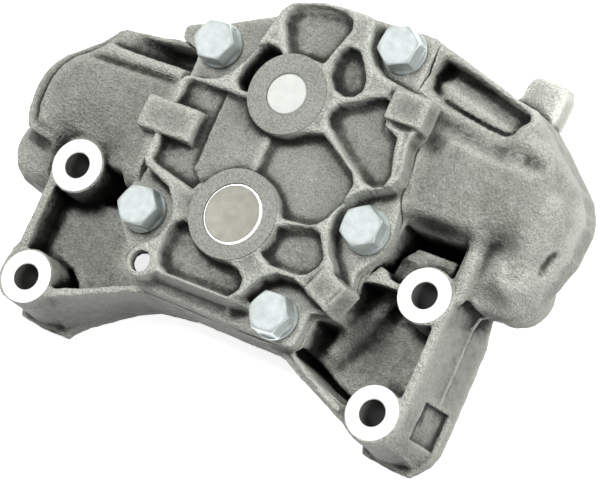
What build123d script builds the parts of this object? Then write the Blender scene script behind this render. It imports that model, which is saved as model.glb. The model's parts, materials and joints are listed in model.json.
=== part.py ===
from build123d import *
import math
import os

os.makedirs("parts", exist_ok=True)

# ------------------------------------------------------------------
# Engine oil pump, twin spur gear, cast-iron body and cover.
# Millimetres. Origin: drive-shaft axis on the plane of the feet.
# +X along the long side of the four mounting bosses, +Z from the feet
# to the cover side.
# ------------------------------------------------------------------

# levels
Z_REAR = 12.3          # rear wall, outer face (drive gear runs below it)
Z_CHAMBER = 19.0       # floor of the gear chamber
Z_JOINT = 35.0         # joint face, same plane as the mounting-boss faces
Z_PAD = 40.0           # seats of the cover bolts
Z_FLOOR = 43.0         # floors of the lightening pockets in the cover
Z_RIB = 50.0           # tops of the cover's ribs
Z_FACE = 51.0          # machined faces of the two shaft bosses

# gear train
CENTRES = 52.5         # centre distance of the pump gears
PUMP_MODULE = 3.75
PUMP_TEETH = 14
BACKLASH = 0.24
CHAMBER_R = 30.15      # tip radius 30.0 plus 0.15
SIDE_GAP = 0.05        # axial clearance each side of the pump gears
DRIVE_MODULE = 2.5
DRIVE_TEETH = 30
DRIVE_Z0, DRIVE_Z1 = 2.4, 10.6

# shafts
DRIVE_SHAFT_R = 12.5
REAR_SEAT_R = 11.0
BUSH_CLEARANCE = 0.04
BUSH_R = 15.0
IDLER_SHAFT_R = 8.7
IDLER_BUSH_R = 11.2
SHAFT_CHAMFER = 1.1
DRIVE_BOSS_R = 18.9
IDLER_BOSS_R = 17.0

# mounting bosses
MOUNT_X = 83.0
MOUNT_Y = (-1.3, -51.3)
MOUNT_HOLE_R = 5.5
MOUNT_BOSS_R = 11.2

# cover bolts, M10 flanged hexagon head
BOLTS = [(-41.7, 63.9), (35.0, 86.0), (52.3, 13.5), (-42.3, -9.6), (31.0, -30.7)]
BOLT_R = 5.0
BOLT_CLEARANCE_R = 5.5
BOLT_END_Z = 17.0
BOLT_FLANGE_R = 9.45
BOLT_HEX_AF = 16.0
BOLT_HEAD_H = 9.2

# dowels
DOWELS = [(-40.5, 44.5), (47.5, -13.5)]
DOWEL_R = 4.0

# ports in the plane of the feet
INLET = (-80.0, 29.0)
INLET_R = 15.0
OUTLET = (90.0, 42.0)
OUTLET_R = 13.0
SEAL_D = 3.0

# relief valve, axis parallel to Z
RELIEF = (107.0, 17.0)
RELIEF_BORE_R = 8.03
RELIEF_PISTON_R = 8.0
RELIEF_SEAT_Z = 28.0
PISTON_L = 11.0
RELIEF_TRAVEL = 7.0

# locating hole through the cover's ear
SIGHT = (-29.6, -30.4)
SIGHT_R = 4.5
# line of the drain drilling below that hole: x and y per mm of height
DRAIN_DX, DRAIN_DY = 0.5495, -0.1213


def prism(points, z0, z1, mode=Mode.ADD, r=0.0, taper=0.0):
    """A prism on a closed outline, corners rounded to r in plan, sides drawn in by taper degrees."""
    turn = sum(a[0] * b[1] - b[0] * a[1] for a, b in zip(points, points[1:] + points[:1]))
    points = points if turn > 0 else points[::-1]
    with BuildSketch(Plane.XY.offset(z0)) as outline:
        with BuildLine():
            Polyline(*points, close=True)
        make_face()
        if r > 0:
            fillet(outline.vertices(), r)
    extrude(outline.sketch, amount=z1 - z0, taper=taper, mode=mode)


def disc(centre, r, z0, z1, mode=Mode.ADD):
    with BuildSketch(Plane.XY.offset(z0)) as round_section:
        with Locations(centre):
            Circle(r)
    extrude(round_section.sketch, amount=z1 - z0, mode=mode)


def ring(centre, r_in, r_out, z0, z1, mode=Mode.ADD):
    with BuildSketch(Plane.XY.offset(z0)) as ring_section:
        with Locations(centre):
            Circle(r_out)
            Circle(r_in, mode=Mode.SUBTRACT)
    extrude(ring_section.sketch, amount=z1 - z0, mode=mode)


def gear_outline(module, teeth, thin, phase, centre=(0.0, 0.0)):
    """Closed involute outline: 20 degree teeth, each flank set back by thin/2."""
    alpha = math.radians(20)
    rp = module * teeth / 2
    rb = rp * math.cos(alpha)
    ra = rp + module
    rf = rp - 1.25 * module
    inv = math.tan(alpha) - alpha
    half = math.pi / (2 * teeth) + inv - thin / (2 * rp)
    points = []
    for k in range(teeth):
        mid = phase + 2 * math.pi * k / teeth
        flank = [(rf + 0.25 * module * 0.4, half + 0.012), ] if rf < rb else []
        steps = 7
        r0 = max(rb, rf)
        for i in range(steps + 1):
            r = r0 + (ra - r0) * i / steps
            t = math.sqrt(max((r / rb) ** 2 - 1, 0.0))
            flank.append((r, half - (t - math.atan(t))))
        root = (rf, half + 0.045 * 14 / teeth)
        left = [root] + flank
        for r, a in left:
            points.append((r, mid - a))
        for r, a in reversed(left):
            points.append((r, mid + a))
    return [(centre[0] + r * math.cos(a), centre[1] + r * math.sin(a)) for r, a in points]


# ------------------------------------------------------------------
# Pump housing
# ------------------------------------------------------------------
CENTRE_BODY = [(-58.5, 61.5), (-60.0, 67.0), (-50.0, 72.2), (-43.6, 73.6), (-35.0, 78.0), (-19.0, 85.6),
               (-9.4, 91.0), (8.4, 93.5), (23.5, 94.4), (45.5, 95.3), (60.0, 90.5), (64.0, 70.0),
               (64.0, 24.0), (62.5, 2.0), (57.0, -22.0), (44.5, -41.5), (24.1, -41.0), (3.6, -40.3),
               (-27.2, -39.6), (-36.0, -36.5), (-40.5, -24.0), (-54.5, -14.0), (-55.0, 50.0)]
LEFT_DOME = [(-50.6, 57.0), (-62.0, 64.0), (-77.0, 63.5), (-95.0, 62.0), (-103.0, 56.0), (-116.0, 44.0), (-121.8, 33.0),
             (-121.8, 14.0), (-117.0, -5.0), (-108.0, -14.5), (-92.0, -15.5), (-74.0, -6.0), (-62.0, -3.0), (-50.6, 2.0)]
RIGHT_DOME = [(62.0, 88.0), (84.0, 83.5), (97.0, 80.5), (110.0, 71.5), (121.0, 61.0), (125.0, 50.0),
              (124.5, 31.0), (121.0, 17.0), (116.0, 7.0), (100.0, 2.5), (95.0, 15.0), (66.5, 18.5), (63.0, 30.0)]
LEFT_CAVITY = [(-58.0, 40.0), (-94.0, 40.0), (-107.0, 34.0), (-112.0, 24.0), (-110.0, 6.0), (-104.0, 10.0), (-66.0, 14.0), (-58.0, 14.0)]
RIGHT_CAVITY = [(66.0, 61.0), (104.0, 61.0), (115.0, 52.0), (116.5, 30.0), (114.0, 14.0), (103.0, 8.0), (99.0, 24.0), (68.0, 24.0)]

with BuildPart() as pump_housing:
    # gear-chamber block
    prism(CENTRE_BODY, Z_REAR, Z_JOINT, r=1.5)
    # domes over the inlet and outlet chambers, drawn in by the draft of the pattern
    prism(LEFT_DOME, 5.0, 43.6, taper=6)
    prism(RIGHT_DOME, 5.0, 41.0, taper=6)
    # port flanges and relief-valve boss down to the plane of the feet
    disc(INLET, INLET_R + 8.0, 0.0, 12.0)
    disc(OUTLET, OUTLET_R + 8.0, 0.0, 12.0)
    disc(RELIEF, 14.5, 0.0, 12.0)
    # skirts between the flanges and the mounting bosses
    prism([(-97.0, -20.0), (-72.0, -20.0), (-62.0, 10.0), (-100.0, 12.0)], 5.0, 24.0)
    prism([(70.0, -6.0), (97.5, -8.0), (104.0, 8.0), (98.0, 26.0), (72.0, 24.0)], 5.0, 27.0)
    # left leg: outer wall, lower wall and web
    prism([(-95.0, -4.0), (-95.5, -44.0), (-90.0, -44.0), (-88.6, -4.0)], 0.0, 34.0)
    prism([(-92.0, -60.0), (-71.0, -60.5), (-48.0, -45.0), (-37.5, -41.0), (-30.0, -39.8), (-27.0, -36.5),
           (-39.5, -38.2), (-60.0, -45.5), (-76.0, -50.5)], 3.0, 32.5)
    prism([(-93.0, -4.0), (-93.0, -52.0), (-73.0, -53.0), (-36.0, -40.0), (-33.0, -28.0), (-50.0, -8.0), (-52.0, 3.0)], 12.3, 19.5)
    # right leg: drafted outer wall, lower wall and web
    with BuildSketch(Plane.XZ.offset(3.0)):
        with BuildLine():
            Polyline((90.3, 3.0), (101.3, 3.0), (101.3, 6.0), (98.2, 15.0), (94.1, 33.5), (90.3, 33.5), close=True)
        make_face()
    extrude(amount=52.0)
    prism([(36.0, -38.0), (40.5, -37.8), (55.5, -46.8), (75.0, -53.5), (76.0, -60.8), (56.7, -53.5), (36.5, -43.8)], 3.0, 33.0)
    prism([(46.0, -16.0), (60.0, -8.0), (66.0, 2.0), (95.0, 4.0), (95.0, -52.0), (75.0, -56.0), (40.0, -40.0)], 12.3, 19.5)
    # links from the mounting bosses to the chamber block
    prism([(60.0, -6.0), (76.0, -5.0), (76.0, -1.0), (60.0, 3.0)], 14.0, 31.0)
    # upper rim ribs along the left and right domes
    prism([(-57.0, 45.6), (-57.0, 51.8), (-94.0, 51.8), (-92.0, 45.6)], 30.0, 44.4)
    # location lug on the upper right edge
    prism([(75.5, 80.0), (76.0, 97.5), (79.0, 100.2), (90.5, 100.2), (95.0, 97.5), (97.0, 78.0)], 6.0, 17.5, r=1.4)
    # feet
    prism([(-96.0, -40.0), (-96.3, -61.0), (-94.8, -65.0), (-71.3, -65.4), (-70.0, -62.0), (-64.0, -57.0), (-70.0, -42.0)], 0.0, 7.0)
    prism([(70.7, -60.3), (72.4, -65.0), (93.9, -66.3), (98.5, -60.5), (101.3, -54.0), (101.3, -40.0), (76.0, -40.0)], 0.0, 7.0)
    # mounting bosses
    for bx in (-MOUNT_X, MOUNT_X):
        for by in MOUNT_Y:
            disc((bx, by), MOUNT_BOSS_R, 0.0, Z_JOINT)
    # boss for the idler shaft behind the rear wall
    disc((0.0, CENTRES), 11.2, 9.0, 14.0)
    # gear chamber: figure-eight pocket open to the joint face
    with BuildSketch(Plane.XY.offset(Z_CHAMBER)):
        Circle(CHAMBER_R)
        with Locations((0.0, CENTRES)):
            Circle(CHAMBER_R)
    extrude(amount=Z_JOINT - Z_CHAMBER + 20.0, mode=Mode.SUBTRACT)
    # joint face is milled flat between the domes
    prism([(-50.4, 100.0), (-50.4, -45.0), (58.0, -45.0), (66.8, -6.0), (66.3, 17.5), (61.0, 52.0), (60.6, 100.0)], Z_JOINT, 60.0, mode=Mode.SUBTRACT)
    prism([(-64.0, 100.0), (-62.0, 61.0), (-55.0, 62.4), (-50.0, 57.0), (-50.0, 100.0)], Z_JOINT, 60.0, mode=Mode.SUBTRACT)
    # inlet and outlet chambers, their side passages to the gears and the ports
    prism(LEFT_CAVITY, 10.0, 37.5, mode=Mode.SUBTRACT)
    prism(RIGHT_CAVITY, 10.0, 36.0, mode=Mode.SUBTRACT)
    prism([(-60.0, 16.0), (-24.0, 19.0), (-24.0, 33.5), (-60.0, 36.0)], 20.5, 31.0, mode=Mode.SUBTRACT)
    prism([(24.0, 19.0), (68.0, 26.0), (68.0, 40.0), (24.0, 33.5)], 20.5, 31.0, mode=Mode.SUBTRACT)
    disc(INLET, INLET_R, -1.0, 12.0, mode=Mode.SUBTRACT)
    disc(OUTLET, OUTLET_R, -1.0, 12.0, mode=Mode.SUBTRACT)
    # relief-valve tower inside the outlet chamber
    disc(RELIEF, 12.5, 6.0, 31.0)
    disc((98.0, 8.5), 6.4, 0.0, 26.0)
    # troughs between rim and ribs
    prism([(-52.0, 52.6), (-92.0, 52.6), (-94.0, 57.2), (-70.0, 58.6), (-52.0, 58.6)], 22.0, 60.0, mode=Mode.SUBTRACT)
    prism([(64.5, 84.2), (90.5, 75.5), (88.0, 68.8), (64.5, 72.5)], 30.0, 60.0, mode=Mode.SUBTRACT)
    # bearing bore, idler-shaft bore
    disc((0.0, 0.0), BUSH_R, 5.0, Z_CHAMBER + 1.0, mode=Mode.SUBTRACT)
    disc((0.0, CENTRES), IDLER_SHAFT_R, 11.0, Z_CHAMBER + 1.0, mode=Mode.SUBTRACT)
    # threaded holes of the cover bolts, dowel holes
    for c in BOLTS:
        disc(c, BOLT_R, BOLT_END_Z - 1.5, Z_JOINT + 1.0, mode=Mode.SUBTRACT)
    for c in DOWELS:
        disc(c, DOWEL_R, 29.0, Z_JOINT + 1.0, mode=Mode.SUBTRACT)
    # mounting holes
    for bx in (-MOUNT_X, MOUNT_X):
        for by in MOUNT_Y:
            disc((bx, by), MOUNT_HOLE_R, -1.0, Z_JOINT + 10.0, mode=Mode.SUBTRACT)
            # spot-faced ring above each boss
            disc((bx, by), MOUNT_BOSS_R + 0.6, Z_JOINT, 60.0, mode=Mode.SUBTRACT)
    # seal grooves round the two ports
    ring(INLET, INLET_R + 2.2, INLET_R + 2.2 + SEAL_D, -1.0, SEAL_D, mode=Mode.SUBTRACT)
    ring(OUTLET, OUTLET_R + 2.2, OUTLET_R + 2.2 + SEAL_D, -1.0, SEAL_D, mode=Mode.SUBTRACT)
    # relief valve: counterbore, thread, bore, seat passage and drain drillings
    disc(RELIEF, 12.0, -1.0, 4.0, mode=Mode.SUBTRACT)
    disc(RELIEF, 8.9, 3.0, 9.0, mode=Mode.SUBTRACT)
    disc(RELIEF, RELIEF_BORE_R, 8.0, RELIEF_SEAT_Z, mode=Mode.SUBTRACT)
    disc(RELIEF, 5.5, 27.0, 32.0, mode=Mode.SUBTRACT)
    disc((98.0, 8.5), 3.4, -1.0, 22.5, mode=Mode.SUBTRACT)
    with BuildSketch(Plane(origin=(98.0, 8.5, 21.5), x_dir=(0, 0, 1), z_dir=(9.0, 8.5, 0.0))):
        Circle(2.6)
    extrude(amount=6.5, mode=Mode.SUBTRACT)
    # oblique drain drilling below the locating hole of the cover
    with BuildSketch(Plane(origin=(SIGHT[0] + DRAIN_DX * -50.0, SIGHT[1] + DRAIN_DY * -50.0, 0.0),
                           x_dir=(0, 1, 0), z_dir=(DRAIN_DX, DRAIN_DY, 1.0))):
        Circle(5.6)
    extrude(amount=80.0, both=True, mode=Mode.SUBTRACT)
    # gallery drilling at the end of the outlet chamber, closed by a plug
    with BuildSketch(Plane(origin=(100.0, 56.0, 20.0), x_dir=(0, 0, 1), z_dir=(1.0, 0.0, 0.0))):
        Circle(5.0)
    extrude(amount=40.0, mode=Mode.SUBTRACT)
pump_housing.part.label = "pump_housing"

# ------------------------------------------------------------------
# Pump cover
# ------------------------------------------------------------------
COVER_PLATE = [(-60.0, 62.0), (-61.0, 66.5), (-57.5, 69.4), (-50.0, 72.4), (-43.6, 74.0), (-35.1, 78.2), (-27.0, 82.3), (-19.0, 85.8),
               (-9.4, 91.2), (-1.5, 93.3), (8.4, 93.7), (23.5, 94.6), (37.6, 95.6), (45.7, 95.5), (47.6, 93.3), (47.6, 74.0),
               (60.2, 69.5), (60.2, 56.0), (58.6, 52.0), (60.6, 37.0), (61.5, 24.0), (62.9, 13.6), (60.9, 5.6), (55.0, -4.0),
               (59.5, -10.7), (53.5, -23.6), (43.5, -25.5), (43.5, -39.0), (41.5, -40.4), (14.0, -40.0), (-5.0, -38.6),
               (-31.0, -38.4), (-37.5, -33.0), (-42.0, -26.0), (-49.6, -18.0), (-49.6, 48.0), (-50.2, 58.5), (-54.5, 63.0)]
RAISED = [(-49.5, 8.1), (-49.5, 43.6), (-45.5, 48.1), (-36.1, 48.1), (-31.2, 50.1), (-27.2, 53.5), (-24.3, 60.5), (-19.8, 79.2),
          (-20.0, 83.2), (-15.9, 88.4), (-9.4, 90.8), (-1.5, 93.0), (8.4, 93.4), (16.6, 93.4), (18.2, 85.0), (21.3, 78.6),
          (25.0, 74.9), (30.4, 72.7), (42.0, 72.3), (46.0, 71.0), (52.0, 58.0), (55.8, 52.5), (58.8, 39.7), (58.6, 33.6),
          (55.8, 28.6), (48.9, 24.9), (44.0, 21.9), (41.0, 15.0), (41.0, 5.1), (44.9, -1.8), (50.9, -6.8), (52.0, -20.0),
          (47.0, -22.5), (43.0, -20.6), (39.0, -17.6), (33.1, -16.7), (26.2, -18.1), (21.2, -22.6), (19.2, -29.5),
          (14.0, -33.2), (-23.0, -33.4), (-31.0, -36.6), (-36.0, -33.5), (-36.6, -26.5), (-32.9, -21.4), (-28.4, -17.8), (-26.1, -10.6),
          (-28.4, -4.3), (-32.9, 1.0), (-41.9, 3.7)]
POCKETS = [
    ([(-15.2, 83.2), (-10.8, 87.4), (-0.5, 89.7), (9.0, 89.7), (12.2, 85.0), (7.0, 70.0), (-7.5, 69.0), (-14.4, 80.2)], 43.0, 1.2),
    ([(12.0, 69.3), (17.0, 77.0), (21.2, 76.6), (27.5, 66.9), (22.8, 60.3), (14.8, 63.9)], 43.0, 2.0),
    ([(-20.3, 65.4), (-16.7, 67.6), (-10.0, 65.8), (-13.0, 49.8), (-21.3, 50.3), (-22.6, 55.9)], 39.0, 1.2),
    ([(22.2, 54.0), (39.5, 62.4), (43.0, 60.0), (43.0, 54.2), (49.9, 50.6), (54.0, 36.1), (49.4, 31.0), (22.0, 48.4)], 43.0, 1.2),
    ([(0.2, 33.8), (0.2, 19.9), (10.0, 12.0), (20.2, 6.9), (30.1, 8.3), (35.5, 11.8), (40.2, 24.4), (39.4, 30.4), (18.3, 41.7), (8.0, 40.0)], 43.0, 1.2),
    ([(-24.0, 12.0), (-14.0, 12.0), (-2.0, 19.0), (0.4, 20.2), (0.4, 34.0), (-10.0, 38.5), (-15.5, 45.5), (-24.0, 45.5)], 45.0, 0.5),
    ([(-44.5, 10.3), (-24.5, 5.5), (-20.0, 9.0), (-23.8, 14.0), (-23.8, 43.6), (-44.5, 43.6)], 46.2, 0.6),
    ([(20.5, 2.8), (29.8, 5.4), (36.0, 4.4), (42.2, -4.3), (39.0, -11.3), (20.5, -11.3)], 43.0, 1.2),
    ([(-23.6, -16.1), (-21.3, -10.9), (-12.0, -12.0), (0.0, -19.5), (12.0, -20.3), (14.1, -26.0), (11.1, -29.8), (-19.3, -29.4), (-23.0, -25.1)], 43.0, 1.0),
]

with BuildPart() as pump_cover:
    prism(COVER_PLATE, Z_JOINT, Z_PAD, r=0.8)
    prism(RAISED, Z_PAD, Z_RIB)
    for outline, floor, corner in POCKETS:
        prism(outline, floor, Z_RIB + 1.0, mode=Mode.SUBTRACT, r=corner)
    # three casting lugs
    prism([(-57.0, 21.0), (-57.0, 34.1), (-31.2, 34.1), (-31.2, 21.0)], 44.6, Z_RIB + 0.6, r=1.5)
    prism([(42.5, 56.5), (42.5, 69.8), (59.8, 69.8), (59.8, 56.5)], Z_PAD, Z_RIB + 0.6, r=1.5)
    prism([(46.4, -4.8), (59.4, -10.7), (53.3, -23.2), (40.2, -17.9)], Z_PAD, Z_RIB, r=1.5)
    # shaft bosses
    disc((0.0, 0.0), DRIVE_BOSS_R, Z_JOINT, Z_FACE)
    disc((0.0, CENTRES), IDLER_BOSS_R, Z_JOINT, Z_FACE)
    # clearance round the bolt heads
    for c in BOLTS:
        disc(c, BOLT_FLANGE_R + 0.8, Z_PAD, Z_RIB + 5.0, mode=Mode.SUBTRACT)
        disc(c, BOLT_CLEARANCE_R, Z_JOINT - 1.0, Z_PAD + 1.0, mode=Mode.SUBTRACT)
    # drive-shaft bearing seat and running hole through the boss face
    disc((0.0, 0.0), BUSH_R, Z_JOINT - 1.0, 48.0, mode=Mode.SUBTRACT)
    disc((0.0, 0.0), DRIVE_SHAFT_R + 0.1, 47.0, Z_FACE + 1.0, mode=Mode.SUBTRACT)
    disc((0.0, CENTRES), IDLER_SHAFT_R, Z_JOINT - 1.0, Z_FACE + 1.0, mode=Mode.SUBTRACT)
    for c in DOWELS:
        disc(c, DOWEL_R, Z_JOINT - 1.0, 41.0, mode=Mode.SUBTRACT)
    # locating hole through the thin ear, relieved from below along the drain line
    disc(SIGHT, SIGHT_R, Z_JOINT - 1.0, Z_RIB + 1.0, mode=Mode.SUBTRACT)
    with BuildSketch(Plane(origin=(SIGHT[0] - DRAIN_DX * 5.5, SIGHT[1] - DRAIN_DY * 5.5, 44.5),
                           x_dir=(0, 1, 0), z_dir=(-DRAIN_DX, -DRAIN_DY, -1.0))):
        Circle(5.2)
    extrude(amount=30.0, mode=Mode.SUBTRACT)
pump_cover.part.label = "pump_cover"

# ------------------------------------------------------------------
# Cover bolts: five flanged hexagon bolts
# ------------------------------------------------------------------
with BuildPart() as cover_bolts:
    for cx, cy in BOLTS:
        disc((cx, cy), BOLT_R, BOLT_END_Z, Z_PAD)
        disc((cx, cy), BOLT_FLANGE_R, Z_PAD, Z_PAD + 1.4)
        with BuildSketch(Plane.XY.offset(Z_PAD + 1.4)):
            with Locations((cx, cy)):
                Circle(BOLT_FLANGE_R - 0.2)
        extrude(amount=1.3, taper=30)
        with BuildSketch(Plane.XY.offset(Z_PAD + 2.0)):
            with Locations((cx, cy)):
                RegularPolygon(BOLT_HEX_AF / 2, 6, major_radius=False, rotation=15)
        extrude(amount=BOLT_HEAD_H - 2.0)
cover_bolts.part.label = "cover_bolts"

# ------------------------------------------------------------------
# Dowel pins between housing and cover
# ------------------------------------------------------------------
with BuildPart() as dowel_pins:
    for cx, cy in DOWELS:
        disc((cx, cy), DOWEL_R, 29.2, 40.8)
    chamfer(dowel_pins.edges().filter_by(GeomType.CIRCLE), 0.5)
dowel_pins.part.label = "dowel_pins"

# ------------------------------------------------------------------
# Drive shaft with its keyways and circlip groove
# ------------------------------------------------------------------
with BuildPart() as drive_shaft:
    disc((0.0, 0.0), DRIVE_SHAFT_R, DRIVE_Z1, Z_FACE)
    chamfer(drive_shaft.faces().sort_by(Axis.Z)[-1].edges(), SHAFT_CHAMFER)
    disc((0.0, 0.0), REAR_SEAT_R, 0.6, DRIVE_Z1)
    chamfer(drive_shaft.faces().sort_by(Axis.Z)[0].edges(), 0.5)
    ring((0.0, 0.0), REAR_SEAT_R - 1.1, REAR_SEAT_R + 2.0, 1.3, DRIVE_Z0, mode=Mode.SUBTRACT)
    # key seat for the pump gear
    with BuildSketch(Plane.XY.offset(21.0)):
        with Locations((0.0, DRIVE_SHAFT_R)):
            Rectangle(5.0, 5.0)
    extrude(amount=12.0, mode=Mode.SUBTRACT)
    # key seat for the drive gear
    with BuildSketch(Plane.XY.offset(3.2)):
        with Locations((0.0, -REAR_SEAT_R)):
            Rectangle(5.0, 5.0)
    extrude(amount=7.0, mode=Mode.SUBTRACT)
    # lathe centre in the cover-side end
    with BuildSketch(Plane.XZ) as centre_mark:
        with BuildLine():
            Polyline((0.0, Z_FACE), (1.1, Z_FACE), (0.0, Z_FACE - 1.2), close=True)
        make_face()
    revolve(axis=Axis.Z, mode=Mode.SUBTRACT)
drive_shaft.part.label = "drive_shaft"

with BuildPart() as pump_gear_key:
    with BuildSketch(Plane.XY.offset(21.0)):
        with Locations((0.0, DRIVE_SHAFT_R)):
            Rectangle(5.0, 5.0)
    extrude(amount=12.0)
pump_gear_key.part.label = "pump_gear_key"

with BuildPart() as drive_gear_key:
    with BuildSketch(Plane.XY.offset(3.2)):
        with Locations((0.0, -REAR_SEAT_R)):
            Rectangle(5.0, 5.0)
    extrude(amount=7.0)
drive_gear_key.part.label = "drive_gear_key"

# ------------------------------------------------------------------
# Pump gears
# ------------------------------------------------------------------
GEAR_Z0 = Z_CHAMBER + SIDE_GAP
GEAR_Z1 = Z_JOINT - SIDE_GAP

with BuildPart() as drive_pump_gear:
    prism(gear_outline(PUMP_MODULE, PUMP_TEETH, BACKLASH, math.pi / 2), GEAR_Z0, GEAR_Z1)
    disc((0.0, 0.0), DRIVE_SHAFT_R, GEAR_Z0 - 1.0, GEAR_Z1 + 1.0, mode=Mode.SUBTRACT)
    with BuildSketch(Plane.XY.offset(GEAR_Z0 - 1.0)):
        with Locations((0.0, DRIVE_SHAFT_R)):
            Rectangle(5.0, 5.0)
    extrude(amount=GEAR_Z1 - GEAR_Z0 + 2.0, mode=Mode.SUBTRACT)
drive_pump_gear.part.label = "drive_pump_gear"

with BuildPart() as idler_pump_gear:
    prism(gear_outline(PUMP_MODULE, PUMP_TEETH, BACKLASH, -math.pi / 2 + math.pi / PUMP_TEETH, (0.0, CENTRES)), GEAR_Z0, GEAR_Z1)
    disc((0.0, CENTRES), IDLER_BUSH_R, GEAR_Z0 - 1.0, GEAR_Z1 + 1.0, mode=Mode.SUBTRACT)
idler_pump_gear.part.label = "idler_pump_gear"

# ------------------------------------------------------------------
# Bearings
# ------------------------------------------------------------------
with BuildPart() as idler_bush:
    ring((0.0, CENTRES), IDLER_SHAFT_R + BUSH_CLEARANCE, IDLER_BUSH_R, GEAR_Z0, GEAR_Z1)
idler_bush.part.label = "idler_bush"

with BuildPart() as cover_bush:
    ring((0.0, 0.0), DRIVE_SHAFT_R + BUSH_CLEARANCE, BUSH_R, Z_JOINT + 0.4, 48.0)
cover_bush.part.label = "cover_bush"

with BuildPart() as housing_bush:
    ring((0.0, 0.0), DRIVE_SHAFT_R + BUSH_CLEARANCE, BUSH_R, Z_REAR, Z_CHAMBER - 0.4)
housing_bush.part.label = "housing_bush"

# ------------------------------------------------------------------
# Idler shaft, pressed into housing and cover
# ------------------------------------------------------------------
with BuildPart() as idler_shaft:
    disc((0.0, CENTRES), IDLER_SHAFT_R, 11.0, Z_FACE)
    chamfer(idler_shaft.edges().filter_by(GeomType.CIRCLE), 0.6)
idler_shaft.part.label = "idler_shaft"

# ------------------------------------------------------------------
# Drive gear behind the rear wall, its thrust washer and circlip
# ------------------------------------------------------------------
with BuildPart() as drive_gear:
    prism(gear_outline(DRIVE_MODULE, DRIVE_TEETH, 0.15, 0.0), DRIVE_Z0, DRIVE_Z1)
    # web turned back between hub and rim on both sides
    ring((0.0, 0.0), 17.0, 29.0, DRIVE_Z0 - 1.0, DRIVE_Z0 + 1.8, mode=Mode.SUBTRACT)
    ring((0.0, 0.0), 20.0, 29.0, DRIVE_Z1 - 1.8, DRIVE_Z1 + 1.0, mode=Mode.SUBTRACT)
    with BuildSketch(Plane.XY.offset(DRIVE_Z0 - 1.0)):
        with PolarLocations(23.0, 6):
            Circle(3.5)
    extrude(amount=12.0, mode=Mode.SUBTRACT)
    disc((0.0, 0.0), REAR_SEAT_R, DRIVE_Z0 - 1.0, DRIVE_Z1 + 1.0, mode=Mode.SUBTRACT)
    with BuildSketch(Plane.XY.offset(DRIVE_Z0 - 1.0)):
        with Locations((0.0, -REAR_SEAT_R)):
            Rectangle(5.0, 5.0)
    extrude(amount=12.0, mode=Mode.SUBTRACT)
drive_gear.part.label = "drive_gear"

with BuildPart() as thrust_washer:
    ring((0.0, 0.0), DRIVE_SHAFT_R + 0.3, 19.0, DRIVE_Z1 + 0.2, Z_REAR)
thrust_washer.part.label = "thrust_washer"

with BuildPart() as drive_gear_circlip:
    ring((0.0, 0.0), REAR_SEAT_R - 1.1, 12.8, 1.3, DRIVE_Z0)
    with BuildSketch(Plane.XY.offset(1.3)):
        with Locations((4.2, 11.6), (-4.2, 11.6)):
            Circle(2.6)
    extrude(amount=DRIVE_Z0 - 1.3)
    disc((0.0, 0.0), REAR_SEAT_R - 1.1, 0.0, 4.0, mode=Mode.SUBTRACT)
    with BuildSketch(Plane.XY.offset(0.0)):
        with Locations((0.0, 13.0)):
            Rectangle(3.2, 10.0)
        with Locations((4.2, 12.0), (-4.2, 12.0)):
            Circle(0.9)
    extrude(amount=4.0, mode=Mode.SUBTRACT)
drive_gear_circlip.part.label = "drive_gear_circlip"

# ------------------------------------------------------------------
# Port seals, drawn pressed flush with the plane of the feet
# ------------------------------------------------------------------
def seal(centre, inner):
    with BuildSketch(Plane.XZ.offset(-centre[1])) as seal_section:
        with Locations((centre[0] + inner + SEAL_D / 2, SEAL_D / 2 + 0.02)):
            Ellipse(SEAL_D / 2, SEAL_D / 2 - 0.03)
    revolve(seal_section.sketch, axis=Axis((centre[0], centre[1], 0.0), (0, 0, 1)))


with BuildPart() as inlet_port_seal:
    seal(INLET, INLET_R + 2.2)
inlet_port_seal.part.label = "inlet_port_seal"

with BuildPart() as outlet_port_seal:
    seal(OUTLET, OUTLET_R + 2.2)
outlet_port_seal.part.label = "outlet_port_seal"

# ------------------------------------------------------------------
# Relief valve
# ------------------------------------------------------------------
with BuildPart() as relief_piston:
    disc(RELIEF, RELIEF_PISTON_R, RELIEF_SEAT_Z - PISTON_L, RELIEF_SEAT_Z)
    chamfer(relief_piston.faces().sort_by(Axis.Z)[-1].edges(), 0.8)
    disc(RELIEF, 6.2, 0.0, RELIEF_SEAT_Z - 3.0, mode=Mode.SUBTRACT)
relief_piston.part.label = "relief_piston"

SPRING_Z0, SPRING_Z1 = 9.0, RELIEF_SEAT_Z - 3.0
SPRING_WIRE_R = 0.8
SPRING_R = 4.9
with BuildPart() as relief_spring:
    spring_height = SPRING_Z1 - SPRING_Z0 - 2 * SPRING_WIRE_R - 0.2
    with BuildLine() as coil:
        Helix(pitch=spring_height / 5.0, height=spring_height, radius=SPRING_R,
              center=(RELIEF[0], RELIEF[1], SPRING_Z0 + SPRING_WIRE_R + 0.1))
    with BuildSketch(Plane(origin=coil.line @ 0, z_dir=coil.line % 0)):
        Circle(SPRING_WIRE_R)
    sweep(is_frenet=True)
relief_spring.part.label = "relief_spring"

with BuildPart() as relief_plug:
    disc(RELIEF, 11.0, 0.4, 3.0)
    chamfer(relief_plug.edges().filter_by(GeomType.CIRCLE), 0.5)
    disc(RELIEF, 8.9, 2.0, 9.0)
    with BuildSketch(Plane.XY.offset(0.0)):
        with Locations(RELIEF):
            RegularPolygon(4.0, 6, major_radius=False)
    extrude(amount=5.0, mode=Mode.SUBTRACT)
relief_plug.part.label = "relief_plug"

with BuildPart() as relief_plug_washer:
    ring(RELIEF, 8.9, 11.8, 3.0, 4.0)
relief_plug_washer.part.label = "relief_plug_washer"

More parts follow.
